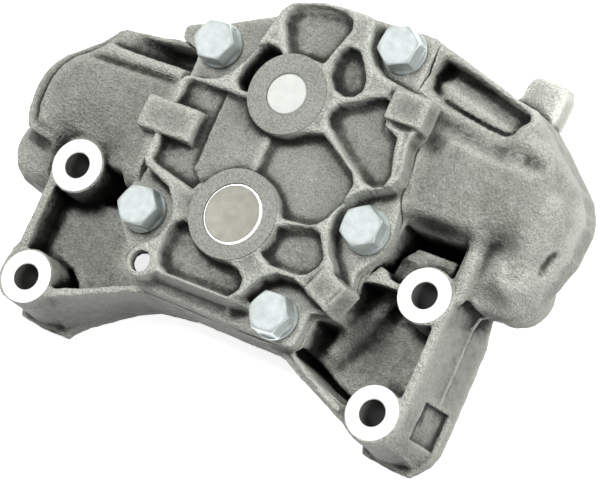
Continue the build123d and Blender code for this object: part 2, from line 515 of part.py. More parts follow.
# ------------------------------------------------------------------
# Plug of the gallery drilling in the outlet chamber's end wall
# ------------------------------------------------------------------
GALLERY_X0, GALLERY_X1 = 113.0, 119.0
with BuildPart() as gallery_plug:
    with BuildSketch(Plane(origin=(GALLERY_X0, 56.0, 20.0), x_dir=(0, 0, 1), z_dir=(1.0, 0.0, 0.0))):
        Circle(5.0)
    extrude(amount=GALLERY_X1 - GALLERY_X0)
    with BuildSketch(Plane(origin=(GALLERY_X1 - 3.5, 56.0, 20.0), x_dir=(0, 0, 1), z_dir=(1.0, 0.0, 0.0))):
        RegularPolygon(2.5, 6, major_radius=False)
    extrude(amount=5.0, mode=Mode.SUBTRACT)
gallery_plug.part.label = "gallery_plug"

for piece in (pump_housing, pump_cover, cover_bolts, dowel_pins, drive_shaft, pump_gear_key, drive_gear_key,
              drive_pump_gear, idler_pump_gear, idler_bush, cover_bush, housing_bush, idler_shaft, drive_gear,
              thrust_washer, drive_gear_circlip, inlet_port_seal, outlet_port_seal, relief_piston, relief_spring,
              relief_plug, relief_plug_washer, gallery_plug):
    export_step(piece.part, "parts/" + piece.part.label + ".step")
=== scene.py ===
import math

import bpy
import numpy as np
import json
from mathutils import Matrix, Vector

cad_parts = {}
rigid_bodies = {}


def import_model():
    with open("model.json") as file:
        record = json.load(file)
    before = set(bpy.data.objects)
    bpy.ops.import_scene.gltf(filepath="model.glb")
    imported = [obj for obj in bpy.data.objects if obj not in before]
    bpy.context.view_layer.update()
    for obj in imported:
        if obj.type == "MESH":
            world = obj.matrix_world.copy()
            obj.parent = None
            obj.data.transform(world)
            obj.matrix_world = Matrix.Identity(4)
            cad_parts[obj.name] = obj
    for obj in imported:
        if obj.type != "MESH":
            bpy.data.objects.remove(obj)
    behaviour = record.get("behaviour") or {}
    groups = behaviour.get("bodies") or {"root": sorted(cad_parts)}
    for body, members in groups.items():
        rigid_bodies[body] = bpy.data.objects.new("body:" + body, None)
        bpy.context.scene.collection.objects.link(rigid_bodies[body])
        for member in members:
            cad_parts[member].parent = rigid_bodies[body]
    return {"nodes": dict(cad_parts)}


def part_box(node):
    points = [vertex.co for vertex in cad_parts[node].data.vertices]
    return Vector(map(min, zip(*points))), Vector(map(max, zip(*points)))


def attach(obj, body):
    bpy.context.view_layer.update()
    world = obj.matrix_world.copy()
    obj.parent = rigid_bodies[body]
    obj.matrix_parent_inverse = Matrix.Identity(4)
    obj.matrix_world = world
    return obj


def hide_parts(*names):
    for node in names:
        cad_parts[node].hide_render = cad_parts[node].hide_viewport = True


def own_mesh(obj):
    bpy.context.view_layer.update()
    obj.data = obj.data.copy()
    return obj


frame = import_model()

import openvdb
from mathutils import Matrix, Vector

MM = 0.001
nodes = frame["nodes"]

# ----------------------------------------------------------------------
# Camera: long lens, looking down on the cover from the front right
# ----------------------------------------------------------------------
CAM_MM = Vector((694.9, -190.1, 1353.7))


cam_data = bpy.data.cameras.new("camera")
cam_data.sensor_fit = "HORIZONTAL"
cam_data.sensor_width = 36.0
cam_data.lens = 226.93
cam_data.clip_start = 0.05
cam_data.clip_end = 20.0
camera = bpy.data.objects.new("camera", cam_data)
turn = Matrix((
    (0.8365992, -0.3128420, 0.4497018),
    (0.4073164, 0.9041663, -0.1287506),
    (-0.3663266, 0.2908836, 0.8838504),
))
camera.matrix_world = Matrix.Translation(CAM_MM * MM) @ turn.to_4x4()
bpy.context.scene.collection.objects.link(camera)
bpy.context.scene.camera = camera



def at(z, points, plane=35.0):
    """Plan points given on one level, carried along the viewing rays to height z."""
    out = []
    for x, y in points:
        t = (z - plane) / (CAM_MM.z - plane)
        out.append((x + (CAM_MM.x - x) * t, y + (CAM_MM.y - y) * t))
    return out


# ----------------------------------------------------------------------
# Distance-field modelling of the two sand castings
# ----------------------------------------------------------------------
class Casting:
    """A solid held as a distance field on a regular grid, millimetres, negative inside."""

    def __init__(self, low, high, step):
        self.low = np.array(low, np.float32)
        self.step = step
        count = np.ceil((np.array(high) - np.array(low)) / step).astype(int) + 1
        self.axes = [self.low[i] + step * np.arange(count[i], dtype=np.float32) for i in range(3)]
        self.field = np.full(tuple(count), 6.0, np.float32)

    def window(self, low, high):
        cut = []
        for i in range(3):
            a = int(np.searchsorted(self.axes[i], low[i]))
            b = int(np.searchsorted(self.axes[i], high[i]))
            cut.append(slice(max(a - 1, 0), min(b + 1, len(self.axes[i]))))
        x, y, z = (self.axes[i][cut[i]] for i in range(3))
        return tuple(cut), x[:, None], y[None, :], z[None, None, :]

    def merge(self, cut, tool, mode, k):
        old = self.field[cut]
        if mode == "add":
            self.field[cut] = round_min(old, tool, k)
        elif mode == "cut":
            self.field[cut] = round_max(old, -tool, k)
        else:
            self.field[cut] = round_max(old, tool, k)


def round_min(a, b, k):
    if k <= 0:
        return np.minimum(a, b)
    u = np.maximum(k - a, 0)
    v = np.maximum(k - b, 0)
    return np.maximum(k, np.minimum(a, b)) - np.sqrt(u * u + v * v)


def round_max(a, b, k):
    if k <= 0:
        return np.maximum(a, b)
    u = np.maximum(a + k, 0)
    v = np.maximum(b + k, 0)
    return np.minimum(-k, np.maximum(a, b)) + np.sqrt(u * u + v * v)


def polygon_distance(points, x, y):
    """Signed distance to a closed outline on the plan grid."""
    best = np.full(np.broadcast(x, y).shape, 1e9, np.float32)
    inside = np.zeros(best.shape, bool)
    n = len(points)
    for i in range(n):
        ax, ay = points[i]
        bx, by = points[(i + 1) % n]
        ex, ey = bx - ax, by - ay
        wx, wy = x - ax, y - ay
        t = np.clip((wx * ex + wy * ey) / (ex * ex + ey * ey + 1e-9), 0, 1)
        dx, dy = wx - ex * t, wy - ey * t
        best = np.minimum(best, dx * dx + dy * dy)
        if ey != 0:
            straddle = (ay > y) != (by > y)
            inside ^= straddle & (x < ax + ex * (y - ay) / ey)
    best = np.sqrt(best)
    return np.where(inside, -best, best)


def smooth_outline(points, r, n=4):
    """Rounds the corners of an outline by radius r where the edges allow."""
    if r <= 0:
        return points
    out = []
    count = len(points)
    for i in range(count):
        p0, p1, p2 = (np.array(points[(i + j) % count], float) for j in (-1, 0, 1))
        a, b = p0 - p1, p2 - p1
        la, lb = np.linalg.norm(a), np.linalg.norm(b)
        if la < 1e-6 or lb < 1e-6:
            continue
        a, b = a / la, b / lb
        half = math.acos(max(-1.0, min(1.0, float(a @ b)))) / 2
        if half > 1.50:
            out.append(tuple(p1))
            continue
        cut = min(r / math.tan(half), 0.48 * la, 0.48 * lb)
        q0, q2 = p1 + a * cut, p1 + b * cut
        for j in range(n + 1):
            t = j / n
            out.append(tuple((1 - t) ** 2 * q0 + 2 * t * (1 - t) * p1 + t * t * q2))
    return out


def solid(c, points, z0, z1, mode="add", edge=1.0, blend=1.5, draft=0.0, corner=0.0, pad=None, top=None, bottom=None):
    """A drafted prism with rounded edges, joined to or cut from the casting with a rounded blend.
    top and bottom, if given, are functions of plan position that replace the flat ends."""
    points = smooth_outline(points, corner)
    xs, ys = [p[0] for p in points], [p[1] for p in points]
    pad = blend + 3.0 if pad is None else pad
    slope = math.tan(math.radians(draft))
    grow = slope * abs(z1 - z0) if draft else 0.0
    zt = z1 + (2.0 if top else 0.0)
    cut, x, y, z = c.window((min(xs) - pad - grow, min(ys) - pad - grow, z0 - pad - 1), (max(xs) + pad + grow, max(ys) + pad + grow, zt + pad + 1))
    flat = polygon_distance(points, x, y)[:, :, None]
    if mode == "cut":
        side = (flat - slope * (z - z0)) * math.cos(math.radians(draft))
    else:
        side = (flat + slope * (z - z0)) * math.cos(math.radians(draft))
    high = z - z1 if top is None else (z - top(x, y)[:, :, None]) * 0.97
    low = z0 - z if bottom is None else (bottom(x, y)[:, :, None] - z) * 0.97
    caps = np.maximum(high, low)
    c.merge(cut, round_max(side, caps, edge).astype(np.float32), mode, blend)


def post(c, centre, r, z0, z1, mode="add", edge=0.0, blend=0.0, draft=0.0):
    """An upright cylinder or cone, r measured at z0."""
    slope = math.tan(math.radians(draft))
    pad = blend + 3.0 + abs(slope * (z1 - z0))
    cut, x, y, z = c.window((centre[0] - r - pad, centre[1] - r - pad, z0 - pad), (centre[0] + r + pad, centre[1] + r + pad, z1 + pad))
    radial = (np.sqrt((x - centre[0]) ** 2 + (y - centre[1]) ** 2) - r)[:, :, None]
    side = radial - slope * (z - z0) if mode == "cut" else radial + slope * (z - z0)
    c.merge(cut, round_max(side, np.maximum(z - z1, z0 - z), edge).astype(np.float32), mode, blend)


def tube(c, centre, r_in, r_out, z0, z1, mode="cut", edge=0.0, blend=0.0):
    pad = blend + 3.0
    cut, x, y, z = c.window((centre[0] - r_out - pad, centre[1] - r_out - pad, z0 - pad), (centre[0] + r_out + pad, centre[1] + r_out + pad, z1 + pad))
    radial = np.sqrt((x - centre[0]) ** 2 + (y - centre[1]) ** 2)
    side = (np.abs(radial - (r_in + r_out) / 2) - (r_out - r_in) / 2)[:, :, None]
    c.merge(cut, round_max(side, np.maximum(z - z1, z0 - z), edge).astype(np.float32), mode, blend)


def rod(c, a, b, ra, rb=None, mode="add", blend=2.0, flat=1.0):
    """A rounded bar between two points of space, radius ra to rb; flat below 1 presses it down."""
    rb = ra if rb is None else rb
    a, b = np.array(a, np.float32), np.array(b, np.float32)
    r = max(ra, rb)
    pad = blend + 3.0 + r
    low, high = np.minimum(a, b) - pad, np.maximum(a, b) + pad
    cut, x, y, z = c.window(low, high)
    x, y = x[:, :, None], y[:, :, None]
    e = b - a
    wx, wy, wz = x - a[0], y - a[1], (z - a[2])
    t = np.clip((wx * e[0] + wy * e[1] + wz * e[2]) / float(e @ e + 1e-9), 0, 1)
    dx, dy, dz = wx - e[0] * t, wy - e[1] * t, (wz - e[2] * t) / flat
    tool = (np.sqrt(dx * dx + dy * dy + dz * dz) - (ra + (rb - ra) * t)) * min(1.0, flat * 1.2)
    c.merge(cut, tool.astype(np.float32), mode, blend)


def ball(c, p, r, mode="add", blend=2.0):
    """An ellipsoid with half-axes r."""
    r = (r, r, r) if np.isscalar(r) else r
    pad = blend + 3.0
    cut, x, y, z = c.window([p[i] - r[i] - pad for i in range(3)], [p[i] + r[i] + pad for i in range(3)])
    x, y = x[:, :, None], y[:, :, None]
    q = np.sqrt(((x - p[0]) / r[0]) ** 2 + ((y - p[1]) / r[1]) ** 2 + ((z - p[2]) / r[2]) ** 2)
    c.merge(cut, ((q - 1) * min(r)).astype(np.float32), mode, blend)


def cylinder_along(c, p, direction, r, length, mode="cut", blend=0.0, back=0.0):
    d = np.array(direction, np.float32)
    d = d / np.linalg.norm(d)
    p = np.array(p, np.float32)
    a, b = p - d * back, p + d * length
    low, high = np.minimum(a, b) - r - 3, np.maximum(a, b) + r + 3
    cut, x, y, z = c.window(low, high)
    x, y = x[:, :, None], y[:, :, None]
    wx, wy, wz = x - p[0], y - p[1], z - p[2]
    t = wx * d[0] + wy * d[1] + wz * d[2]
    radial = np.sqrt(np.maximum(wx * wx + wy * wy + wz * wz - t * t, 0)) - r
    c.merge(cut, np.maximum(radial, np.maximum(t - length, -back - t)).astype(np.float32), mode, blend)


def lattice_noise(shape, cell, seed, step):
    """Smooth value noise on the grid, feature size cell in millimetres, about -1 to 1."""
    rng = np.random.default_rng(seed)
    coarse = [int(math.ceil(shape[i] * step / cell)) + 3 for i in range(3)]
    g = rng.uniform(-1, 1, coarse).astype(np.float32)
    for axis in range(3):
        pos = np.arange(shape[axis], dtype=np.float32) * step / cell
        i0 = pos.astype(int)
        f = pos - i0
        f = f * f * (3 - 2 * f)
        lo = np.take(g, i0, axis=axis)
        hi = np.take(g, i0 + 1, axis=axis)
        form = [1, 1, 1]
        form[axis] = -1
        g = lo + (hi - lo) * f.reshape(form)
    return g


def roughen(c, amount, cell, seed):
    noise = lattice_noise(c.field.shape, cell, seed, c.step)
    near = np.abs(c.field) < 3.0
    c.field = np.where(near, c.field + amount * noise, c.field).astype(np.float32)


def box_blur(f, n):
    for axis in range(3):
        pad = [(0, 0)] * 3
        pad[axis] = (n + 1, n)
        g = np.cumsum(np.pad(f, pad, mode="edge"), axis=axis, dtype=np.float64)
        size = f.shape[axis]
        hi = np.take(g, np.arange(2 * n + 1, 2 * n + 1 + size), axis=axis)
        lo = np.take(g, np.arange(0, size), axis=axis)
        f = ((hi - lo) / (2 * n + 1)).astype(np.float32)
    return f


def enclosure(c, points):
    """How deep each point lies in a recess, 0 in the open to 1 in a slot or pit, seen from above or below, whichever is freer."""
    inside = c.field < 0
    filled = inside.any(axis=2)
    z = c.axes[2]
    top = np.where(filled, z[len(z) - 1 - np.argmax(inside[:, :, ::-1], axis=2)], -99.0)
    low = np.where(filled, z[np.argmax(inside, axis=2)], 199.0)
    gx = (points[:, 0] - c.low[0]) / c.step
    gy = (points[:, 1] - c.low[1]) / c.step
    result = []
    for level, sign in ((top, 1.0), (low, -1.0)):
        rise = []
        for k in range(12):
            a = 2 * math.pi * k / 12
            steep = np.zeros(len(points), np.float32)
            for r in (1.2, 2.0, 3.2, 5.0, 7.5, 11.0, 16.0):
                ix = np.rint(gx + math.cos(a) * r / c.step).astype(int)
                iy = np.rint(gy + math.sin(a) * r / c.step).astype(int)
                ok = (ix >= 0) & (iy >= 0) & (ix < level.shape[0]) & (iy < level.shape[1])
                h = np.where(ok, level[np.clip(ix, 0, level.shape[0] - 1), np.clip(iy, 0, level.shape[1] - 1)], -99.0 * sign)
                steep = np.maximum(steep, sign * (h - points[:, 2]) / r)
            rise.append(steep / np.sqrt(1 + steep * steep))
        rise = np.stack(rise)
        pairs = np.minimum(rise[:6], rise[6:])
        result.append(np.clip(rise.mean(axis=0) + pairs.mean(axis=0) - 0.5, 0, 1))
    return np.minimum(result[0], result[1]).astype(np.float32)


def surface(c, name, painted_light_spots=()):
    """The casting's skin as a quad mesh, in metres, with how hollow and how enclosed each spot is kept per vertex;
    the iron material turns both into painted shade.
    painted_light_spots are soft spots of painted shade (positive strength) and painted highlight (negative strength),
    each a centre, a radius and a strength, added to the enclosure value."""
    field = np.clip(c.field, -6.0, 6.0)
    grid = openvdb.FloatGrid(6.0)
    grid.copyFromArray(np.ascontiguousarray(field))
    points, quads = grid.convertToQuads(0.0)
    index = [np.clip(np.rint(points[:, i]).astype(int), 0, field.shape[i] - 1) for i in range(3)]
    # concavity of the skin: the iron material paints creases darker (painted shade) and convex edges lighter (painted
    # highlight)
    hollow = np.zeros(len(points), np.float32)
    for reach, weight in ((1.6, 1.0), (4.0, 0.45)):
        soft = box_blur(field, max(1, int(round(reach / c.step))))
        soft = box_blur(soft, max(1, int(round(reach / c.step / 2))))
        hollow += weight * (field[index[0], index[1], index[2]] - soft[index[0], index[1], index[2]])
    points = points.astype(np.float64) * c.step + c.low
    # enclosure of recesses, painted darker by the iron material as painted shade
    shelter = enclosure(c, points)
    # painted shade and painted highlights: soft spots added to the enclosure value, darker where the strength is
    # positive, lighter where it is negative
    for centre, radius, strength in painted_light_spots:
        d2 = sum(((points[:, i] - centre[i]) / radius[i]) ** 2 for i in range(3))
        shelter += (strength * np.exp(-d2)).astype(np.float32)
    points = points * MM
    mesh = bpy.data.meshes.new(name)
    mesh.vertices.add(len(points))
    mesh.vertices.foreach_set("co", points.astype(np.float32).ravel())
    quads = quads.astype(np.int32)
    mesh.loops.add(quads.size)
    mesh.loops.foreach_set("vertex_index", quads.ravel())
    mesh.polygons.add(len(quads))
    mesh.polygons.foreach_set("loop_start", np.arange(0, quads.size, 4, dtype=np.int32))
    mesh.polygons.foreach_set("loop_total", np.full(len(quads), 4, np.int32))
    mesh.polygons.foreach_set("use_smooth", np.ones(len(quads), bool))
    mesh.update(calc_edges=True)
    mesh.attributes.new("hollow", "FLOAT", "POINT").data.foreach_set("value", hollow)
    mesh.attributes.new("shelter", "FLOAT", "POINT").data.foreach_set("value", shelter.astype(np.float32))
    mesh.validate()
    obj = bpy.data.objects.new(name, mesh)
    bpy.context.scene.collection.objects.link(obj)
    return obj


# ----------------------------------------------------------------------
# Key positions, millimetres
# ----------------------------------------------------------------------
SHAFT = (0.0, 0.0)
IDLER = (0.0, 52.5)
BOLTS = [(-41.7, 63.9), (35.0, 86.0), (52.3, 13.5), (-42.3, -9.6), (31.0, -30.7)]
MOUNTS = [(-83.0, -1.3), (-83.0, -51.3), (83.0, -1.3), (83.0, -51.3)]
SIGHT = (-29.6, -30.4)
INLET, OUTLET, RELIEF = (-80.0, 29.0), (90.0, 42.0), (107.0, 17.0)
DRAIN = (0.5495, -0.1213, 1.0)
BOLT_TURNS = (6.0, 23.0, 31.0, 8.0, 3.0)


# ----------------------------------------------------------------------
# Pump cover
# ----------------------------------------------------------------------
RAISED = [(-48.8, 9.0), (-48.8, 43.0), (-46.8, 46.6), (-43.6, 47.9), (-38.0, 48.4), (-32.6, 50.3), (-28.4, 54.0), (-25.2, 60.0), (-22.4, 70.0),
          (-20.2, 80.0), (-19.3, 85.0), (-15.9, 89.2), (-9.4, 91.6), (-1.5, 93.8), (8.4, 94.3), (17.0, 94.4), (22.5, 93.6), (23.4, 88.0), (25.4, 81.4),
          (29.0, 76.4), (34.6, 73.2), (42.0, 72.0), (47.0, 71.2), (58.5, 70.0), (58.9, 56.0), (57.2, 51.0), (59.6, 40.6), (60.0, 35.4),
          (58.0, 31.6), (53.6, 29.0), (49.2, 26.8), (44.6, 23.4), (41.8, 19.0), (40.9, 13.0), (41.6, 7.0), (44.8, 0.0), (50.6, -6.4), (53.0, -12.0),
          (49.0, -20.0), (44.6, -20.4), (40.6, -17.6), (34.6, -15.9), (28.0, -16.4), (22.6, -19.8), (19.4, -25.0), (17.6, -29.6),
          (13.0, -32.4), (-21.0, -33.0), (-25.4, -35.6), (-30.2, -37.0), (-34.6, -35.0), (-36.4, -30.6), (-35.4, -26.4), (-31.8, -22.0), (-27.6, -18.0), (-25.9, -10.6),
          (-28.2, -4.3), (-32.6, 0.9), (-40.6, 3.9), (-46.0, 5.8)]


def make_cover():
    c = Casting((-66, -44, 32), (68, 100, 58), 0.45)
    plate = [(-60.0, 61.8), (-61.1, 65.8), (-60.4, 68.2), (-57.5, 69.5), (-50.0, 72.7), (-43.6, 74.3), (-35.1, 78.5), (-27.0, 82.4), (-19.0, 87.0),
             (-9.4, 91.8), (-1.5, 94.0), (8.4, 94.6), (18.5, 95.3), (37.6, 96.0), (45.7, 95.9), (47.9, 93.4), (47.0, 84.0), (47.6, 74.0),
             (57.0, 69.5), (57.6, 56.0), (57.4, 50.0), (59.0, 41.0), (58.6, 34.0), (60.2, 28.0), (61.9, 21.5), (62.8, 13.6), (60.9, 5.6), (55.0, -3.4), (56.5, -11.7),
             (52.5, -22.6), (44.0, -24.6), (43.0, -38.4), (41.0, -40.2), (14.0, -40.2), (-5.0, -39.0),
             (-31.0, -38.6), (-37.6, -33.0), (-43.7, -25.3), (-50.7, -17.3), (-53.7, -1.4), (-52.7, 1.6), (-50.2, 6.0), (-50.2, 48.0), (-50.2, 58.8)]
    solid(c, plate, 34.0, 40.0, edge=0.7, blend=1.0, draft=3, corner=2.0)
    solid(c, RAISED, 38.0, 50.0, edge=1.3, blend=1.4, draft=4, corner=2.0)
    # sloping lower side from the bottom rib down to the joint
    solid(c, [(-34.0, -30.0), (14.0, -28.0), (21.5, -30.0), (21.0, -40.6), (-5.0, -39.6), (-31.0, -38.8), (-35.0, -35.0)], 34.0, 50.0, edge=1.2, blend=1.8, draft=0,
          top=lambda x, y: 49.6 - 2.3 * np.clip(-31.8 - y, 0, 2.8) - 0.85 * np.maximum(-34.6 - y, 0) - 0.8 * np.maximum(x - 11.5, 0))
    pockets = [
        (44.0, [(-15.0, 83.5), (-13.5, 86.6), (-9.0, 89.1), (0.0, 91.0), (8.0, 91.0), (11.8, 89.2), (13.2, 85.6), (10.5, 78.0), (8.0, 70.0), (-6.5, 68.0), (-10.0, 72.0), (-14.7, 80.5)], 1.5, 2.6),
        (43.2, [(12.4, 71.5), (13.2, 76.0), (16.2, 78.4), (20.5, 78.1), (24.2, 74.0), (28.0, 68.0), (28.5, 64.4), (26.0, 61.3), (22.0, 60.3), (17.6, 61.6), (14.0, 66.0)], 2.0, 2.8),
        (39.5, [(-20.6, 66.4), (-18.0, 68.5), (-13.0, 67.8), (-9.6, 65.4), (-13.0, 49.7), (-20.4, 49.8), (-22.9, 52.0), (-22.4, 58.0)], 1.8, 2.2),
        (43.6, [(20.6, 52.0), (22.5, 55.2), (27.0, 57.7), (36.0, 62.7), (40.0, 63.8), (43.2, 62.0), (43.4, 53.6), (46.0, 52.6), (50.8, 50.6), (51.8, 45.0), (54.8, 36.0), (53.8, 31.8), (50.0, 30.0), (46.0, 30.8), (34.0, 38.2), (22.0, 47.2), (20.5, 49.6)], 1.6, 2.6),
        (43.0, [(-0.6, 36.0), (-0.6, 18.0), (10.0, 12.0), (20.0, 6.4), (22.0, 6.5), (30.0, 7.3), (34.2, 8.9), (37.3, 12.5), (40.5, 22.0), (41.3, 27.5), (39.2, 31.2), (30.0, 36.8), (21.0, 41.8), (17.6, 41.2), (8.0, 38.0)], 1.5, 2.4),
        (46.6, [(-26.4, 11.0), (-25.0, 7.8), (-16.0, 8.0), (-2.0, 17.0), (1.2, 19.0), (1.2, 36.0), (-8.0, 38.0), (-15.5, 45.6), (-26.4, 45.6)], 0.6, 1.4),
        (45.2, [(-44.4, 10.6), (-42.6, 9.2), (-22.0, 4.6), (-21.0, 7.0), (-26.6, 13.0), (-27.0, 45.4), (-43.0, 45.4), (-44.4, 44.0)], 0.6, 1.2),
        (43.4, [(19.5, 1.0), (24.0, 3.0), (33.0, 5.6), (37.2, 4.5), (42.7, -3.5), (42.3, -7.0), (39.2, -11.2), (35.0, -12.7), (23.0, -12.7), (18.0, -10.0)], 1.8, 2.4),
        (43.2, [(-24.0, -16.0), (-22.6, -11.4), (-19.5, -9.6), (-12.0, -12.0), (0.0, -18.0), (11.0, -20.3), (14.2, -23.0), (14.5, -26.5), (11.7, -30.2), (-18.0, -30.2), (-21.6, -28.2), (-23.7, -24.0)], 1.6, 2.6),
    ]
    for floor, outline, corner, foot in pockets:
        solid(c, outline, floor, 58.0, mode="cut", edge=foot, blend=1.5, draft=9, corner=corner)
    # dark pit below the left lug and shallow relief above it
    solid(c, [(-43.6, 17.2), (-43.6, 20.5), (-33.0, 20.5), (-33.5, 17.6)], 45.8, 58.0, mode="cut", edge=1.5, blend=1.2, draft=25, corner=1.2)
    # lugs
    solid(c, [(-57.8, 20.0), (-57.8, 35.0), (-31.2, 35.0), (-31.2, 20.0)], 44.2, 51.3, edge=1.3, blend=1.0, draft=6, corner=1.8)
    solid(c, [(42.3, 55.6), (42.3, 70.2), (60.6, 70.2), (60.6, 55.6)], 41.2, 52.0, edge=1.5, blend=0.9, draft=4, corner=2.0)
    groove(c, [(41.6, 70.6, 50.6), (41.4, 55.0, 50.4), (57.0, 54.8, 50.4)], 1.4, 0.2, blend=0.9)
    solid(c, [(46.2, -4.9), (60.6, -11.4), (54.8, -24.6), (40.6, -18.0)], 38.0, 51.6, edge=1.1, blend=0.9, draft=5, corner=1.6)
    groove(c, [(44.2, -3.4, 50.4), (39.4, -14.6, 50.4)], 1.3, 0.2, blend=0.8)
    groove(c, [(57.6, -12.3, 51.2), (52.6, -23.0, 51.2)], 0.7, 0.2, blend=0.4)
    groove(c, [(55.2, 52.5, 50.4), (56.9, 43.0, 50.4), (57.6, 36.5, 50.4)], 1.4, -0.1, blend=0.6)
    # boss of the small through hole
    post(c, SIGHT, 6.6, 44.0, 50.0, edge=0.9, blend=1.5, draft=4)
    # shaft bosses
    post(c, SHAFT, 19.2, 38.0, 51.2, edge=0.5, blend=1.4, draft=1)
    post(c, IDLER, 17.3, 38.0, 51.2, edge=0.5, blend=1.4, draft=1)
    # pits at the feet of the bolt heads, seats at z 40
    for b in BOLTS:
        post(c, b, 10.4, 40.0, 58.0, mode="cut", edge=1.0, blend=0.7, draft=5)
    roughen(c, 0.13, 3.0, 11)
    roughen(c, 0.09, 1.1, 12)
    # machined: joint face, bosses, seats, bores
    cut, x, y, z = c.window((-70, -50, 30), (70, 104, 60))
    c.merge(cut, np.broadcast_to(35.0 - z, c.field[cut].shape), "meet", 0)
    post(c, SHAFT, 22.0, 50.45, 60.0, mode="cut")
    post(c, IDLER, 20.0, 50.45, 60.0, mode="cut")
    for b in BOLTS:
        post(c, b, 9.9, 40.0, 46.0, mode="cut")
        post(c, b, 5.5, 30.0, 45.0, mode="cut")
    post(c, SHAFT, 13.6, 30.0, 60.0, mode="cut")
    post(c, SHAFT, 15.0, 30.0, 48.0, mode="cut")
    post(c, IDLER, 9.6, 40.0, 60.0, mode="cut")
    post(c, IDLER, 8.9, 30.0, 60.0, mode="cut")
    post(c, SIGHT, 4.4, 30.0, 60.0, mode="cut", blend=0.6)
    cylinder_along(c, (SIGHT[0] - DRAIN[0] * 5.5, SIGHT[1] - DRAIN[1] * 5.5, 44.5), [-v for v in DRAIN], 5.5, 40.0)
    # the listed spots are painted shade in the cover's pits, pockets and under its lower edge
    return surface(c, "cover_casting", [
        ((-40.0, 17.0, 46.0), (6.0, 3.5, 4.0), 0.6), ((-39.0, 38.0, 46.0), (8.0, 3.5, 4.0), 0.4), ((-28.6, 26.0, 46.0), (2.4, 16.0, 3.0), 0.35),
        ((-17.0, 58.0, 42.0), (7.0, 10.0, 6.0), 0.4), ((20.5, 22.0, 43.0), (22.0, 18.0, 2.0), 0.0), ((42.5, 61.0, 44.0), (3.5, 6.0, 4.0), 0.6),
        ((44.0, 7.0, 42.0), (6.0, 8.0, 4.0), 0.3), ((22.0, -20.0, 42.0), (8.0, 5.0, 4.0), 0.35), ((-6.0, -24.0, 43.5), (20.0, 7.0, 3.0), 0.22),
        ((0.0, -37.5, 42.0), (30.0, 2.6, 4.0), 0.4),
    ])


# ----------------------------------------------------------------------
# Pump housing
# ----------------------------------------------------------------------
def height_field(points):
    """Smooth surface through control points (x, y, z): thin-plate spline."""
    p = np.array(points, np.float64)
    n = len(p)

    def kernel(r2):
        return 0.5 * r2 * np.log(np.maximum(r2, 1e-9))

    d2 = (p[:, None, 0] - p[None, :, 0]) ** 2 + (p[:, None, 1] - p[None, :, 1]) ** 2
    A = np.zeros((n + 3, n + 3))
    A[:n, :n] = kernel(d2) + 4.0 * np.eye(n)
    A[:n, n] = 1
    A[:n, n + 1:] = p[:, :2]
    A[n, :n] = 1
    A[n + 1:, :n] = p[:, :2].T
    w = np.linalg.solve(A, np.concatenate([p[:, 2], np.zeros(3)]))

    def surface_at(x, y):
        x, y = np.broadcast_arrays(x, y)
        out = w[n] + w[n + 1] * x + w[n + 2] * y
        for k in range(n):
            out = out + w[k] * kernel((x - p[k, 0]) ** 2 + (y - p[k, 1]) ** 2)
        return out.astype(np.float32)

    return surface_at


def groove(c, points, r, depth_above, mode="cut", blend=1.5):
    """A soft channel or bead along a polyline of (x, y, z)."""
    for a, b in zip(points[:-1], points[1:]):
        rod(c, (a[0], a[1], a[2] + depth_above), (b[0], b[1], b[2] + depth_above), r, mode=mode, blend=blend)


